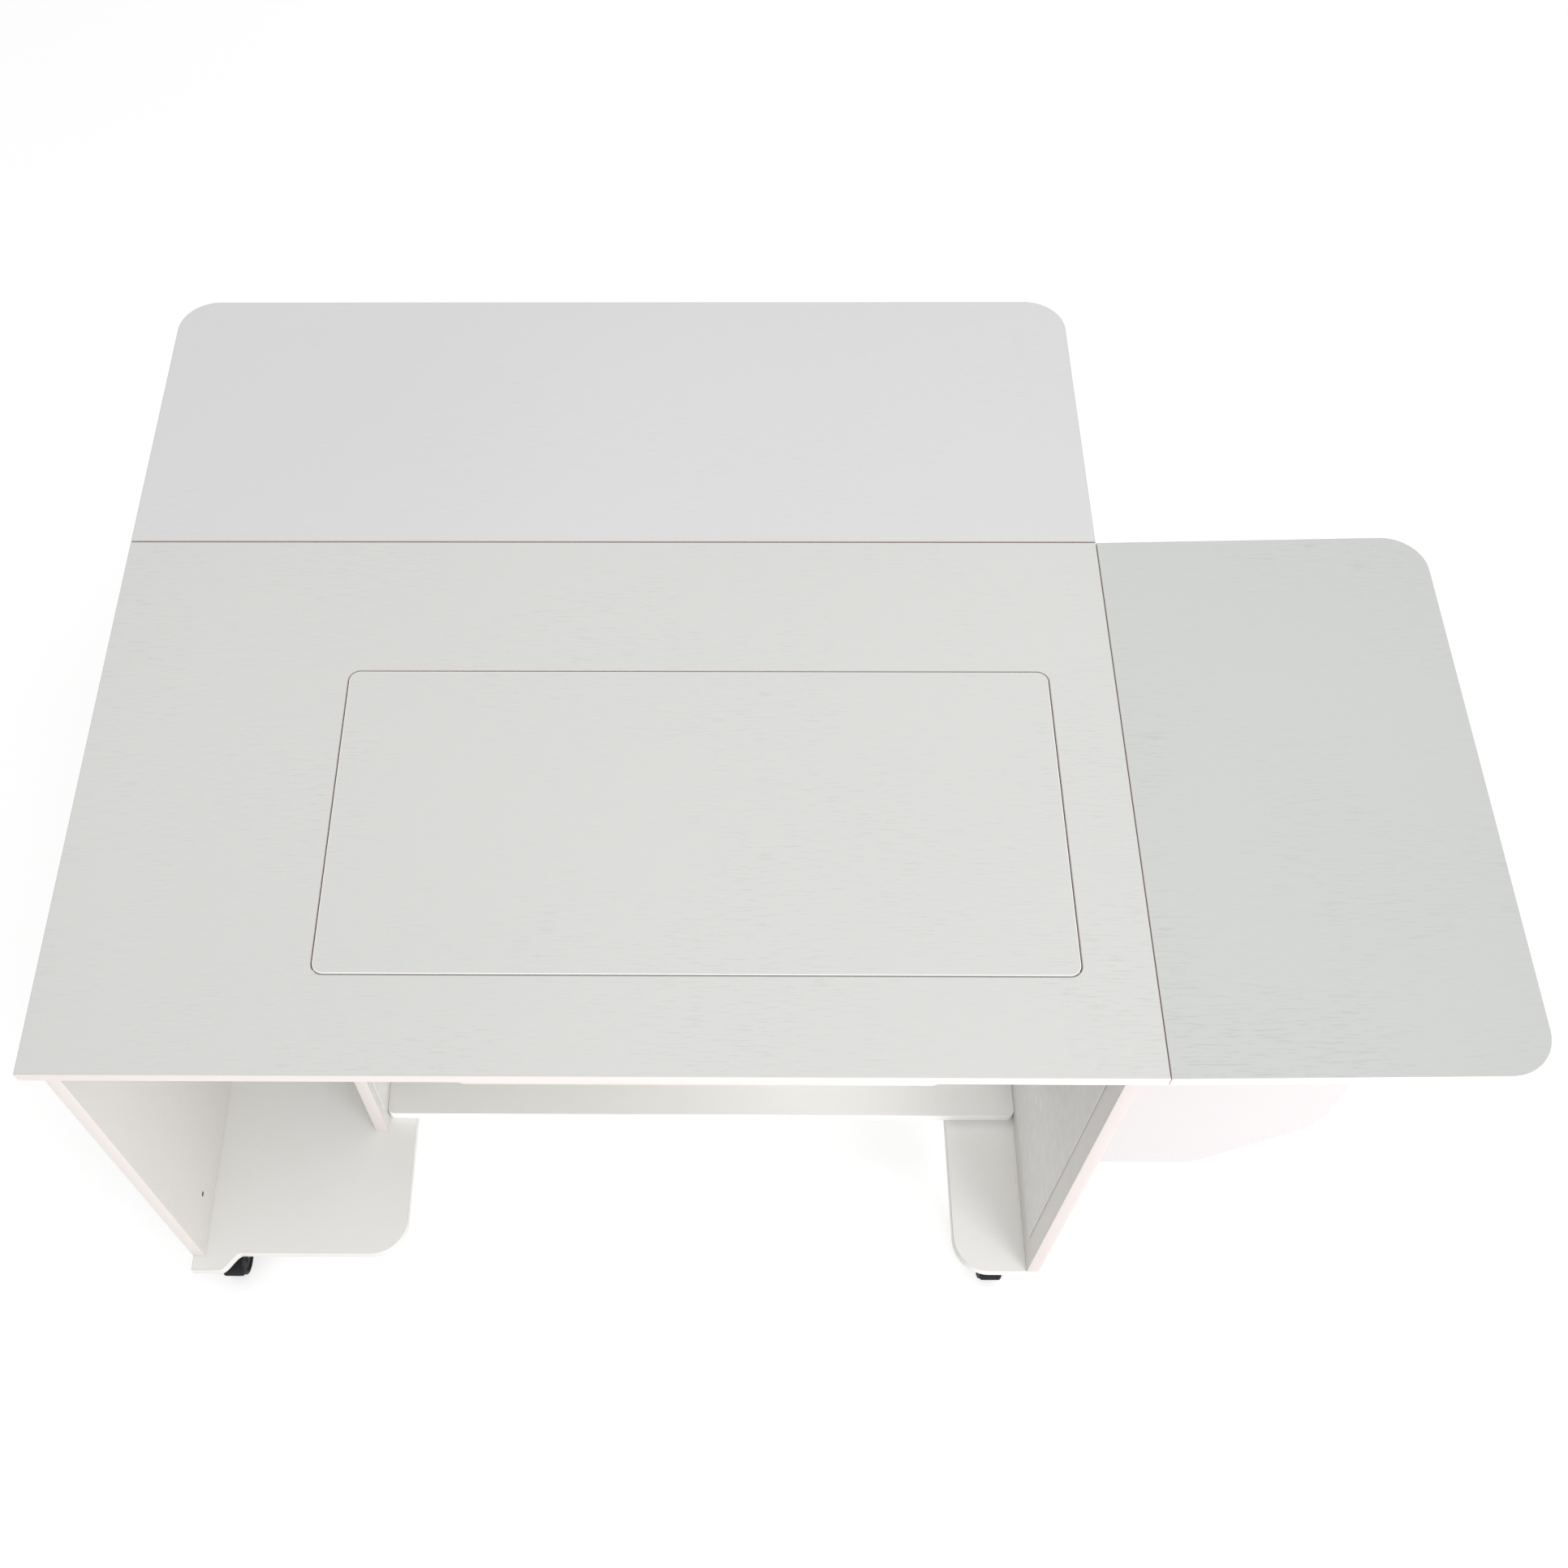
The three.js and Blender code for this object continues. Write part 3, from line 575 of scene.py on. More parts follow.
def make_floor():
    """A pale floor that glows a little, so that it stays white around the table."""
    half = 7.0
    mesh = bpy.data.meshes.new("floor")
    mesh.from_pydata([(-half, -half, 0), (half, -half, 0), (half, half, 0), (-half, half, 0)], [],
                     [(0, 1, 2, 3)])
    floor = new_object("floor", mesh)
    paint = bpy.data.materials.new("floor paint")
    paint.use_nodes = True
    shader = paint.node_tree.nodes["Principled BSDF"]
    constants = {"Base Color": (0.62, 0.62, 0.62, 1), "Roughness": 0.9, "Specular IOR Level": 0.0,
                 "Emission Color": (1, 1, 1, 1), "Emission Strength": 0.46}
    for socket, value in constants.items():
        shader.inputs[socket].default_value = value
    mesh.materials.append(paint)


def area_light(name, place, aim, wide, high, power):
    """A rectangular lamp that stands at its place and points at its aim."""
    data = bpy.data.lights.new(name, "AREA")
    data.shape = "RECTANGLE"
    data.size = wide
    data.size_y = high
    data.energy = power
    light = bpy.data.objects.new(name, data)
    light.location = place
    light.rotation_euler = (Vector(aim) - Vector(place)).to_track_quat("-Z", "Y").to_euler()
    light.visible_camera = False
    bpy.context.scene.collection.objects.link(light)


def make_light():
    """An even white room, three softboxes and a weak fill in each shaded bay."""
    world = bpy.data.worlds.new("studio")
    bpy.context.scene.world = world
    world.use_nodes = True
    background = world.node_tree.nodes["Background"]
    background.inputs["Color"].default_value = (1, 1, 1, 1)
    background.inputs["Strength"].default_value = 0.76
    area_light("overhead softbox", (0.4, -0.1, 3.2), (0.1, 0, 0.7), 2.2, 2.2, 25)
    area_light("front softbox", (-0.2, -3.4, 1.5), (0, 0, 0.5), 2.2, 2.2, 16)
    area_light("front right softbox", (1.75, -2.5, 0.65), (-0.2, 0, 0.25), 1.3, 0.8, 62)
    area_light("storage bay fill", (-0.6, -0.2, 0.7), (-0.6, -0.199, 0), 0.16, 0.36, 0.3)
    area_light("knee space fill", (0.14, -0.12, 0.4), (0.14, -0.119, 0), 0.3, 0.24, 0.42)
    bpy.context.scene.view_settings.view_transform = "Standard"


# ---- Tops, insert and leaves ----
def make_tops():
    """The main top with its opening, the insert, the rear leaf and the slightly raised right leaf."""
    low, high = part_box("insert_panel")
    gap, corner = 1.4 * MM, 12.0 * MM
    opening = rounded(low.x - gap, low.y - gap, high.x + gap, high.y + gap, [corner + gap] * 4)
    top_finish = (TOP_FACE, TOP_BAND)
    board("main_top", "z", None, top_finish, BOARD_EASE, [opening])
    insert = rounded(low.x, low.y, high.x, high.y, [corner] * 4)
    # the insert's edge band carries a painted highlight along the groove round the insert
    board("insert_panel", "z", insert, (TOP_FACE, LIT_BAND))

    leaf_corner = 48.0 * MM
    low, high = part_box("rear_leaf")
    # the rear leaf's face carries painted cool light: its laminate is cooler and lighter than the top's
    board("rear_leaf", "z", rounded(low.x, low.y, high.x, high.y, (0, 0, leaf_corner, leaf_corner), 16),
          (REAR_LEAF_COOL_LIT_FACE, TOP_BAND))

    # the right leaf is drawn level, from its pin line outwards, and then raised
    low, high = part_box("right_leaf")
    main_low, main_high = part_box("main_top")
    inner, leaf_width = 0.75 * MM, 370 * MM
    outline = rounded(inner, low.y, inner + leaf_width, high.y, (0, leaf_corner, leaf_corner, 0), 16)
    pin_height = RIGHT_PIN.z
    # the right leaf's face carries painted shade: its laminate is darker than the top's
    mesh = cut_sheet("right_leaf", "z", outline, main_low.z - pin_height, main_high.z - pin_height,
                     BOARD_EASE, (RIGHT_LEAF_SHADED_FACE, TOP_BAND))
    mesh.transform(ON_RIGHT_LEAF)
    stand_for(new_object("right_leaf_board", mesh), "right_leaf")


# ---- Cabinet ----
def foot_outlines():
    """The left foot's outline with its toe and sweep, and the right foot's with one round corner."""
    corner = 45 * MM
    low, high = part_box("left_foot")
    toe, sweep, recess = 37 * MM, 25 * MM, 22.5 * MM
    sweep_steps = 12
    left = [(low.x, low.y), (low.x + toe, low.y)]
    for step in range(1, sweep_steps + 1):
        t = step / sweep_steps
        ease = t * t * (3 - 2 * t)
        left.append((low.x + toe + sweep * t, low.y + recess * ease))
    left += arc(high.x - corner, low.y + recess + corner, corner, 270, 360)
    left += [(high.x, high.y), (low.x, high.y)]
    low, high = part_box("right_foot")
    right = arc(low.x + corner, low.y + corner, corner, 180, 270)
    right += [(high.x, low.y), (high.x, high.y), (low.x, high.y)]
    return left, right


def make_cabinet():
    """The upright boards, the feet, the bridge between them and the cleats under the insert."""
    # the right side's front edge carries painted shade: its band is darker than the cabinet band
    board("right_side_panel", "x", None, (SIDE_FACE, RIGHT_SHADED_BAND))
    board("divider", "x")
    board("back_panel", "y")
    left, right = foot_outlines()
    # the feet's laminate carries painted light, to make up for the shade under the top
    board("left_foot", "z", left, (FLAT_LIT_FACE, FOOT_BAND))
    board("right_foot", "z", right, (FLAT_LIT_FACE, FOOT_BAND))
    low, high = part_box("bridge_board")
    corner = 9 * MM
    fit = 0.9 * MM        # the ends close up to the divider and the right side
    # the bridge's top carries the shelf laminate's painted light and its front edge the lit band's painted
    # light
    board("bridge_board", "z",
          rounded(low.x - fit, low.y, high.x + fit, high.y, (corner, corner, 0, 0)),
          (FLAT_LIT_FACE, LIT_BAND))
    # the cleats' laminate carries painted light, to make up for the shade under the top
    for node in ("insert_cleat_left", "insert_cleat_right"):
        board(node, "z", None, (FLAT_LIT_FACE, CABINET_BAND))
        low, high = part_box(node)
        x = low.x + 0.28 * (high.x - low.x)
        for share in (0.1, 0.5, 0.9):
            place = (x, low.y + share * (high.y - low.y), low.z)
            screw("cabinet", place, (0, 0, -1))


def make_left_panel():
    """The left side has one blind hole for a pin, near the front and just over the foot."""
    low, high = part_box("left_side_panel")
    outline = rounded(low.y, low.z, high.y, high.z, (0, 0, 0, 0))
    blank = new_object("blank", cut_sheet("left_side_panel", "x", outline, low.x, high.x, BOARD_EASE,
                                          (SIDE_FACE, CABINET_BAND, RAW_BOARD)))
    radius, depth = 3.5 * MM, 9 * MM
    from_front, from_foot = 65 * MM, 52.7 * MM
    centre = (high.x - depth, low.y + from_front, low.z + from_foot)
    drill = turned([(0, 0), (radius, 0), (radius, 2 * depth), (0, 2 * depth)], "x", centre, RAW_BOARD, 24)
    cutter = new_object("drill", drill)
    cut = blank.modifiers.new("hole", "BOOLEAN")
    cut.object = cutter
    cut.solver = "EXACT"
    mesh = evaluated_mesh(blank)
    drop_object(blank)
    drop_object(cutter)
    for polygon in mesh.polygons:
        polygon.use_smooth = abs(polygon.normal.x) < FLAT_ABOVE
    stand_for(new_object("left_side_panel_board", mesh), "left_side_panel")


# ---- Hinges ----
def knuckle(from_height, to_height, radius, bore=None):
    """A hinge knuckle along Z, with chamfered ends, solid or with a bore for the pin."""
    edge = 0.3 * MM
    outside = [(radius - edge, from_height), (radius, from_height + edge),
               (radius, to_height - edge), (radius - edge, to_height)]
    if bore is None:
        return [(0, from_height)] + outside + [(0, to_height)]
    return [(bore, from_height)] + outside + [(bore, to_height), (bore, from_height)]


def hinge_half(length, radius, near, far, plate_low, plate_high, moving, spans):
    """One half of a butt hinge about Z: a plate from near to far along X, and its knuckles."""
    half = length / 2
    corner = 3 * MM
    radii = (0, corner, corner, 0) if far > near else (corner, 0, 0, corner)
    outline = rounded(min(near, far), -half, max(near, far), half, radii, 6)
    meshes = [cut_sheet("plate", "y", outline, plate_low, plate_high, STEEL_EASE, (PLATED,))]
    inside = 0.6 * radius * (1 if moving else -1)
    for start, end in spans:
        meshes.append(turned(knuckle(start, end, radius, PIN_BORE if moving else None), "z", (0, 0, 0),
                             PLATED, 32))
        outline = rounded(min(inside, near), start, max(inside, near), end, (0, 0, 0, 0))
        meshes.append(cut_sheet("tongue", "y", outline, plate_low, plate_high, TONGUE_EASE, (PLATED,)))
    if not moving:
        past, tip = 0.4 * MM, 1.1 * MM
        pin = [(0, -half - past), (tip, -half - past), (PIN_RADIUS, -half),
               (PIN_RADIUS, half), (tip, half + past), (0, half + past)]
        meshes.append(turned(pin, "z", (0, 0, 0), PLATED, 20))
    return meshes


def leaf_hinge(name, pin_place, axes, fixed_reach, moving_reach, rise=0.0, length=60 * MM):
    """Both halves of a leaf's hinge, with two screws in each plate."""
    radius, gap = 3 * MM, 0.3 * MM
    plate_low, plate_high = 1.5 * MM, 3 * MM
    third = length / 3
    outer = [(-length / 2, -third / 2 - gap), (third / 2 + gap, length / 2)]
    inner = [(-third / 2, third / 2)]
    for half, near, far, spans in (("fixed", -radius - gap, -fixed_reach, outer),
                                   ("moving", radius + gap, moving_reach, inner)):
        lifted = Matrix.Rotation(-rise if half == "moving" else 0.0, 4, "Y")
        place = Matrix.Translation(pin_place) @ lifted @ axes
        meshes = hinge_half(length, radius, near, far, plate_low, plate_high, half == "moving", spans)
        piece = joined(f"{name}_{half}_leaf", meshes)
        piece.data.transform(place)
        node = f"{name}_{half}"
        stand_for(piece, node)
        middle = (near + far) / 2
        for share in (-0.33, 0.33):
            spot = place @ Vector((middle, plate_low, share * length))
            screw(BODY[node], spot, place.to_3x3() @ Vector((0, -1, 0)), 0.9)


# how a hinge's own axes lie in the table's: X across the seam, Y up to the boards, Z along the pin
REAR_HINGE_AXES = Matrix(((0, 0, 1, 0), (1, 0, 0, 0), (0, 1, 0, 0), (0, 0, 0, 1)))
RIGHT_HINGE_AXES = Matrix(((1, 0, 0, 0), (0, 0, -1, 0), (0, 1, 0, 0), (0, 0, 0, 1)))


def hinge_names(stem):
    """The hinges of one leaf, from the CAD nodes of their fixed halves."""
    return [node[:-len("_fixed")] for node in SLOT if node.startswith(stem) and node.endswith("_fixed")]


def make_leaf_hinges():
    rear_pin = Vector(JOINTS["rear_leaf_fold"]["pos_m"])
    for name in hinge_names("rear_hinge"):
        low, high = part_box(name + "_fixed")
        place = ((low.x + high.x) / 2, rear_pin.y, rear_pin.z)
        leaf_hinge(name, place, REAR_HINGE_AXES, 32 * MM, 34 * MM)
    for name in hinge_names("right_hinge"):
        low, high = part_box(name + "_fixed")
        place = (RIGHT_PIN.x, (low.y + high.y) / 2, RIGHT_PIN.z)
        leaf_hinge(name, place, RIGHT_HINGE_AXES, 19 * MM, 34 * MM, RIGHT_LEAF_RISE)


# ---- Struts under the rear leaf ----
def make_strut_bar(side, pivot):
    """A flat bar on its pivot, with a slot at its foot, leaning from the leaf to the back panel."""
    width, length, pin = 18 * MM, 320 * MM, 3 * MM
    low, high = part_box(f"rear_strut_{side}")
    lean = math.acos((high.z - low.z - width) / length)
    bar = arc(0, 0, width / 2, 0, 180, 16) + arc(0, -length, width / 2, 180, 360, 16)
    hole = arc(0, 0, pin + 0.3 * MM, 0, 345, 23)
    slot_low, slot_high, slot_half = -length + 2 * MM, -length + 26 * MM, 2.6 * MM
    slot = arc(0, slot_high, slot_half, 0, 180, 10) + arc(0, slot_low, slot_half, 180, 360, 10)
    mesh = cut_sheet("strut", "x", bar, low.x, high.x, 0.5 * MM, (PAINTED,), (hole, slot))
    mesh.transform(Matrix.Translation((0, pivot.y, pivot.z)) @ Matrix.Rotation(-lean, 4, "X"))
    stand_for(new_object(f"rear_strut_{side}_bar", mesh), f"rear_strut_{side}")


def make_strut_bracket(side, pivot, sheet, cheek):
    """A plate under the leaf, a cheek down from it, and the rivet that the strut turns on."""
    low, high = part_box(f"strut_bracket_{side}")
    plate = cut_sheet("plate", "z", rounded(low.x, low.y, high.x, high.y, [4 * MM] * 4, 6),
                      high.z - sheet, high.z, STEEL_EASE, (PLATED,))
    half, corner = 12 * MM, 10 * MM
    ear = rounded(pivot.y - half, low.z, pivot.y + half, high.z - 0.5 * MM, (corner, corner, 0, 0), 8)
    wall = cut_sheet("cheek", "x", ear, low.x, low.x + cheek, STEEL_EASE, (PLATED,))
    outer_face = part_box(f"rear_strut_{side}")[1].x
    pin, head = 3 * MM, 5 * MM
    start = low.x + 0.5 * cheek
    shank = outer_face + 0.3 * MM - start
    reach = outer_face + 3 * MM - start
    rivet = turned([(0, 0), (pin, 0), (pin, shank), (head, shank), (head, reach - 1.2 * MM),
                    (4.2 * MM, reach - 0.4 * MM), (2.5 * MM, reach), (0, reach)],
                   "x", (start, pivot.y, pivot.z), PLATED, 28)
    stand_for(joined(f"strut_bracket_{side}_steel", [plate, wall, rivet]), f"strut_bracket_{side}")
    for y in (low.y + 8 * MM, high.y - 8 * MM):
        screw("rear_leaf", (high.x - 8 * MM, y, high.z - sheet), (0, 0, -1))


def make_strut_catch(side, sheet, cheek):
    """A plate on the back panel with the cheek that the strut's foot stands by."""
    low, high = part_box(f"strut_catch_{side}")
    plate = cut_sheet("plate", "y", rounded(low.x, low.z, high.x, high.z, [4 * MM] * 4, 6),
                      low.y, low.y + sheet, STEEL_EASE, (PLATED,))
    corner = 9 * MM
    ear = rounded(low.y + 1 * MM, low.z + 14 * MM, high.y, low.z + 50 * MM, (0, corner, corner, 0), 8)
    wall = cut_sheet("cheek", "x", ear, low.x, low.x + cheek, STEEL_EASE, (PLATED,))
    stand_for(joined(f"strut_catch_{side}_steel", [plate, wall]), f"strut_catch_{side}")
    for z in (low.z + 8 * MM, high.z - 8 * MM):
        screw("cabinet", (high.x - 9 * MM, low.y + sheet, z), (0, 1, 0))


def make_struts():
    sheet, cheek = 2 * MM, 3 * MM
    for side in ("left", "right"):
        pivot = Vector(JOINTS[f"strut_{side}_fold"]["pos_m"])
        make_strut_bar(side, pivot)
        make_strut_bracket(side, pivot, sheet, cheek)
        make_strut_catch(side, sheet, cheek)


# ---- Swing-out gate ----
def bend(start, control, end, steps=8):
    """Points along a soft bend between two straight edges."""
    points = []
    for step in range(steps + 1):
        t = step / steps
        points.append(tuple((1 - t) ** 2 * a + 2 * t * (1 - t) * b + t * t * c
                            for a, b, c in zip(start, control, end)))
    return points


def make_gate():
    """A gate board with its lower outer corner cut away between two soft bends."""
    low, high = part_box("leaf_gate")

    def at(inward, up):
        return high.x - inward * MM, low.z + up * MM

    outline = [(low.x, low.z)] + bend(at(125, 0), at(116, 0), at(107, 7))
    outline += bend(at(20, 104), at(0, 125), at(0, 160), 14)
    outline += [(high.x, high.z), (low.x, high.z)]
    # the gate's face carries painted shade: its laminate is darker than the other boards'
    board("leaf_gate", "y", outline, (GATE_SHADED_FACE, CABINET_BAND))


def make_leaf_stop():
    """A nylon stop under the right leaf, square to it, that bears on the gate's top edge."""
    low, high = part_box("leaf_stop")
    to_leaf = ON_RIGHT_LEAF.inverted()
    middle = (low + high) / 2
    reach = (to_leaf @ middle).x
    radius, chamfer, top = 6 * MM, 1.2 * MM, 3 * MM
    bottom = (to_leaf @ Vector((low.x, middle.y, low.z))).z
    stop = turned([(0, bottom), (radius - chamfer, bottom), (radius, bottom + chamfer),
                   (radius, top), (0, top)], "z", (reach, middle.y, 0), NYLON, 32)
    stop.transform(ON_RIGHT_LEAF)
    stand_for(new_object("leaf_stop_nylon", stop), "leaf_stop")


def make_gate_hinge():
    """The long hinge between the gate's end and the right side, about an upright pin."""
    pin = Vector(JOINTS["gate_swing"]["pos_m"])
    low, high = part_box("gate_hinge_fixed")
    length, radius, gap, plate = high.z - low.z, 2.5 * MM, 0.3 * MM, 1.2 * MM
    middle = (low.z + high.z) / 2
    third = length / 3
    corner, plate_end = 3 * MM, pin.y - radius - gap
    outer = [(-length / 2, -third / 2 - gap), (third / 2 + gap, length / 2)]
    for half, face, spans in (("fixed", low.x, outer),
                              ("moving", pin.x + plate, [(-third / 2, third / 2)])):
        outline = rounded(low.y, low.z, plate_end, high.z, (corner, 0, 0, corner), 6)
        meshes = [cut_sheet("plate", "x", outline, face, face + plate, STEEL_EASE, (PLATED,))]
        for start, end in spans:
            tongue = rounded(plate_end, middle + start, pin.y, middle + end, (0, 0, 0, 0))
            meshes.append(cut_sheet("tongue", "x", tongue, face, face + plate, TONGUE_EASE, (PLATED,)))
            bore = PIN_BORE if half == "moving" else None
            meshes.append(turned(knuckle(start, end, radius, bore), "z", (pin.x, pin.y, middle), PLATED))
        if half == "fixed":
            rod = [(0, -length / 2), (PIN_RADIUS, -length / 2), (PIN_RADIUS, length / 2), (0, length / 2)]
            meshes.append(turned(rod, "z", (pin.x, pin.y, middle), PLATED, 20))
        stand_for(joined(f"gate_hinge_{half}_steel", meshes), f"gate_hinge_{half}")


# ---- Machine platform and its lift ----
def make_platform():
    """The board that a machine stands on, and the channel across under it."""
    low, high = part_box("lift_platform")
    # the platform's laminate carries painted light, to make up for the shade under the top
    board("lift_platform", "z", rounded(low.x, low.y, high.x, high.y, [20 * MM] * 4),
          (FLAT_LIT_FACE, CABINET_BAND))

    # the channel is open downwards
    low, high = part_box("lift_crossbar")
    wall, fold = 2 * MM, 2.4 * MM
    outline = [(low.y, low.z)]
    outline += arc(low.y + fold, high.z - fold, fold, 180, 90, 6)
    outline += arc(high.y - fold, high.z - fold, fold, 90, 0, 6)
    outline += [(high.y, low.z), (high.y - wall, low.z), (high.y - wall, high.z - wall),
                (low.y + wall, high.z - wall), (low.y + wall, low.z)]
    mesh = cut_sheet("channel", "x", outline[::-1], low.x, high.x, STEEL_EASE, (PAINTED,))
    stand_for(new_object("lift_crossbar_channel", mesh), "lift_crossbar")


def make_rail(side, inward):
    """A plate on the cabinet's board with four holes, and two lips that guide the channel's end."""
    bar_low, bar_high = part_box("lift_crossbar")
    low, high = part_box(f"lift_rail_{side}")
    sheet, lip_wall, depth = 1.5 * MM, 2 * MM, 13 * MM
    face = low.x if inward > 0 else high.x
    plate_edges = sorted((face, face + inward * sheet))
    lip_edges = sorted((face, face + inward * depth))
    holes = []
    for share in (0.2, 0.4, 0.6, 0.8):
        z = low.z + share * (high.z - low.z)
        holes.append(arc(high.y - 18 * MM, z, 3 * MM, 0, 345, 23))
    outline = rounded(low.y, low.z, high.y, high.z, [5 * MM] * 4, 6)
    meshes = [cut_sheet("plate", "x", outline, *plate_edges, STEEL_EASE, (PAINTED,), holes)]
    corner = 4 * MM
    radii = (0, corner, corner, 0) if inward > 0 else (corner, 0, 0, corner)
    outline = rounded(lip_edges[0], low.z, lip_edges[1], high.z, radii, 6)
    clearance = 0.6 * MM
    for lip in (bar_low.y - clearance - lip_wall, bar_high.y + clearance):
        meshes.append(cut_sheet("lip", "y", outline, lip, lip + lip_wall, STEEL_EASE, (PAINTED,)))
    stand_for(joined(f"lift_rail_{side}_steel", meshes), f"lift_rail_{side}")
    for share in (0.04, 0.3, 0.5, 0.7, 0.96):
        z = low.z + share * (high.z - low.z)
        screw("cabinet", (face + inward * sheet, high.y - 8 * MM, z), (inward, 0, 0))


def make_gas_spring(side):
    """A black tube on a broad foot, and a polished rod with a cap under the channel."""
    low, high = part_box(f"gas_tube_{side}")
    x, y = (low.x + high.x) / 2, (low.y + high.y) / 2
    top = (high.z - low.z) / MM
    profile = [(0, 0), (13, 0), (13, 3), (12, 4), (9.6, 4), (9, 5), (9, top - 1), (8.2, top), (7, top),
               (7, 6), (0, 6)]
    tube = turned([(radius * MM, height * MM) for radius, height in profile], "z", (x, y, low.z),
                  GAS_BLACK, 40)
    stand_for(new_object(f"gas_tube_{side}_tube", tube), f"gas_tube_{side}")

    low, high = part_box(f"gas_rod_{side}")
    top = (high.z - low.z) / MM
    cap = top - 10
    profile = [(0, 0), (3.6, 0), (4, 0.4), (4, cap), (8.2, cap), (9, cap + 0.8), (9, top - 0.8),
               (8.2, top), (0, top)]
    rod = turned([(radius * MM, height * MM) for radius, height in profile], "z", (x, y, low.z),
                 POLISHED, 32)
    stand_for(new_object(f"gas_rod_{side}_rod", rod), f"gas_rod_{side}")


def make_lift():
    make_platform()
    for side, inward in (("left", 1), ("right", -1)):
        make_rail(side, inward)
        make_gas_spring(side)


# ---- Casters ----
WHEEL = 25 * MM            # radius of a wheel
TRAIL = 18 * MM            # from the swivel's axis back to the axle
HOOD = 28.5 * MM           # radius of the hood's outside
WEB = 5.5 * MM             # half the thickness of the web between the wheels
HALF_WIDTH = 14.8 * MM     # half the width over both wheels


def hood_mesh():
    """The hood over both wheels: an arched shell with rounded shoulders and a rolled front lip."""
    thick, shoulder, roll = 2.3 * MM, 2.1 * MM, 0.9 * MM
    start, end, lip_from = 30, 172, 154     # degrees round the axle, from the back over the top
    narrowing, shoulder_from = 0.1, 0.82    # shares of the half width
    rows, columns = 40, 22
    shell = bmesh.new()
    grid = []
    for row in range(rows + 1):
        degrees = start + (end - start) * row / rows
        lip = max(0.0, (degrees - lip_from) / (end - lip_from))
        half = HALF_WIDTH * (1 - narrowing * lip ** 3)
        line = []
        for column in range(columns + 1):
            x = half * math.sin((-1 + 2 * column / columns) * math.pi / 2)
            past = max(0.0, abs(x) / half - shoulder_from) / (1 - shoulder_from)
            radius = HOOD + roll * lip ** 2 - shoulder * (1 - math.sqrt(max(0.0, 1 - past * past)))
            angle = math.radians(degrees)
            line.append(shell.verts.new((x, radius * math.cos(angle), radius * math.sin(angle))))
        grid.append(line)
    for upper, lower in zip(grid, grid[1:]):
        for column in range(columns):
            shell.faces.new((upper[column], upper[column + 1], lower[column + 1], lower[column]))
    bmesh.ops.recalc_face_normals(shell, faces=shell.faces)
    mesh = bpy.data.meshes.new("hood")
    shell.to_mesh(mesh)
    shell.free()
    mesh.shade_smooth()
    blank = new_object("hood", mesh)
    skin = blank.modifiers.new("wall", "SOLIDIFY")
    skin.thickness = thick
    skin.offset = -1
    soften = blank.modifiers.new("soft edges", "BEVEL")
    soften.width = 0.5 * MM
    soften.segments = 2
    soften.limit_method = "ANGLE"
    soften.angle_limit = math.radians(50)
    mesh = evaluated_mesh(blank)
    drop_object(blank)
    mesh.materials.clear()
    mesh.materials.append(NYLON)
    mesh.transform(Matrix.Translation((0, -TRAIL, WHEEL)))
    return mesh


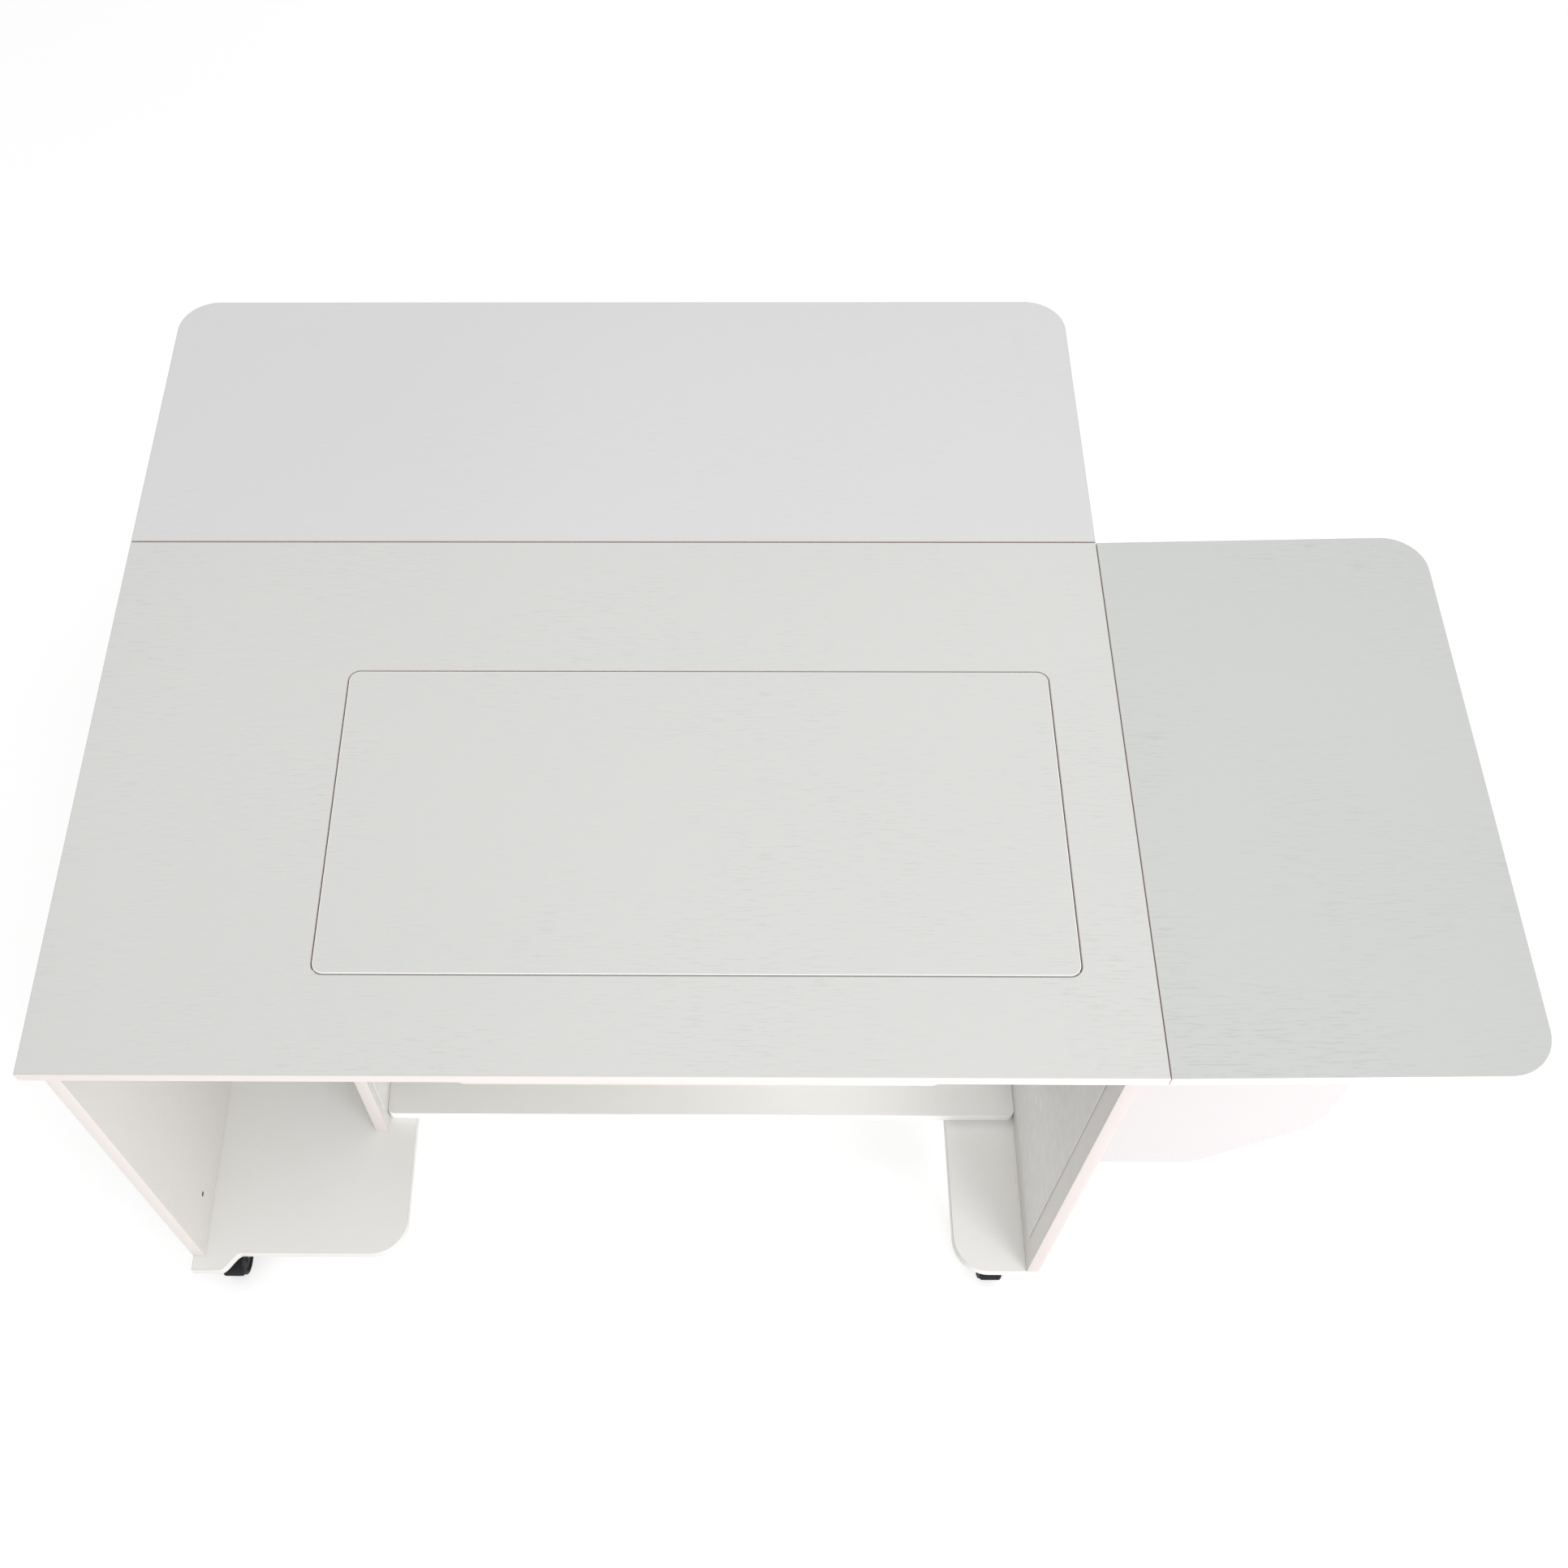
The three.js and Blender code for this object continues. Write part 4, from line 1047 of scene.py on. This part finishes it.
def caster_meshes():
    """The hood with its web, boss and axle, the mount, and a wheel's profile, about the swivel's axis."""
    low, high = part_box("caster_front_left_mount")
    plate_top, lip_height, collar_drop, gap = high.z, 9 * MM, 4 * MM, 0.3 * MM
    collar_foot = plate_top - collar_drop

    web_radius = HOOD - 1.5 * MM
    flat = math.degrees(math.asin((WHEEL - lip_height) / web_radius))
    web = cut_sheet("web", "x", arc(-TRAIL, WHEEL, web_radius, -flat, 180 + flat, 48), -WEB, WEB,
                    MOULDED_EASE, (NYLON,))
    boss_half, boss_foot = 9 * MM, 30 * MM
    boss = cut_sheet("boss", "z", rounded(-WEB, -boss_half, WEB, boss_half, [3.5 * MM] * 4, 8), boss_foot,
                     collar_foot - gap, MOULDED_EASE, (NYLON,))
    rim, bar, chamfer = 2.4 * MM, 3 * MM, 0.6 * MM
    axle = turned([(0, -HALF_WIDTH), (rim, -HALF_WIDTH), (bar, -HALF_WIDTH + chamfer),
                   (bar, HALF_WIDTH - chamfer), (rim, HALF_WIDTH), (0, HALF_WIDTH)],
                  "x", (0, -TRAIL, WHEEL), PLATED, 24)

    half = (high.x - low.x) / 2
    plate = cut_sheet("plate", "z", rounded(-half, -half, half, half, [5 * MM] * 4, 8),
                      plate_top - 2 * MM, plate_top, STEEL_EASE, (NYLON,))
    pin, collar, inside = 3.5 * MM, 9 * MM, plate_top - 1 * MM
    stem = turned([(0, low.z), (pin - 0.5 * MM, low.z), (pin, low.z + 0.5 * MM), (pin, collar_foot),
                   (collar - chamfer, collar_foot), (collar, collar_foot + chamfer), (collar, inside),
                   (0, inside)], "z", (0, 0, 0), NYLON, 32)

    # from the bore out over the dished face to the tread, and back across the inner face
    tread = 9.0
    profile = [(3.3, 0), (8.2, 0), (8.8, 0.6), (9.2, 2.2), (19.6, 2.4), (20.4, 0.6), (21, 0.1), (23, 0),
               (24.3, 0.35), (25, 1.2), (25, tread - 1.2), (24.3, tread - 0.35), (23, tread),
               (3.3, tread), (3.3, 0)]
    wheel = [(radius * MM, height * MM) for radius, height in profile]
    return [hood_mesh(), web, boss, axle], [plate, stem], wheel


def make_casters():
    """Four casters: the front ones trail to the front, the rear ones to the back."""
    body, mount, wheel = caster_meshes()
    for end in ("front", "rear"):
        for side in ("left", "right"):
            name = f"caster_{end}_{side}"
            pivot = Vector(JOINTS[f"swivel_{end}_{side}"]["pos_m"])
            turn = Matrix.Rotation(math.pi if end == "rear" else 0, 4, "Z")
            place = Matrix.Translation((pivot.x, pivot.y, 0)) @ turn
            for node, parts in ((f"{name}_hood", body), (f"{name}_mount", mount)):
                piece = joined(node + "_nylon", parts)
                piece.data.transform(place)
                stand_for(piece, node)
            for letter, outward in (("a", -1), ("b", 1)):
                # a wheel's hollow side faces outwards
                start = Matrix.Translation((outward * HALF_WIDTH, -TRAIL, WHEEL))
                inward = Matrix.Rotation(-outward * math.pi / 2, 4, "Y")
                mesh = turned(wheel, "z", (0, 0, 0), TREAD, 56)
                mesh.transform(place @ start @ inward)
                stand_for(new_object(f"{name}_wheel_{letter}_tyre", mesh), f"{name}_wheel_{letter}")
            low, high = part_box(f"{name}_mount")
            inset = 6 * MM
            for x in (low.x + inset, high.x - inset):
                for y in (low.y + inset, high.y - inset):
                    screw("cabinet", (x, y, high.z - 2 * MM), (0, 0, -1), 0.8)


# ---- Everything is made here ----
make_camera()
make_floor()
make_light()
make_tops()
make_cabinet()
make_left_panel()
make_leaf_hinges()
make_struts()
make_gate()
make_leaf_stop()
make_gate_hinge()
make_lift()
make_casters()
drive_screws()
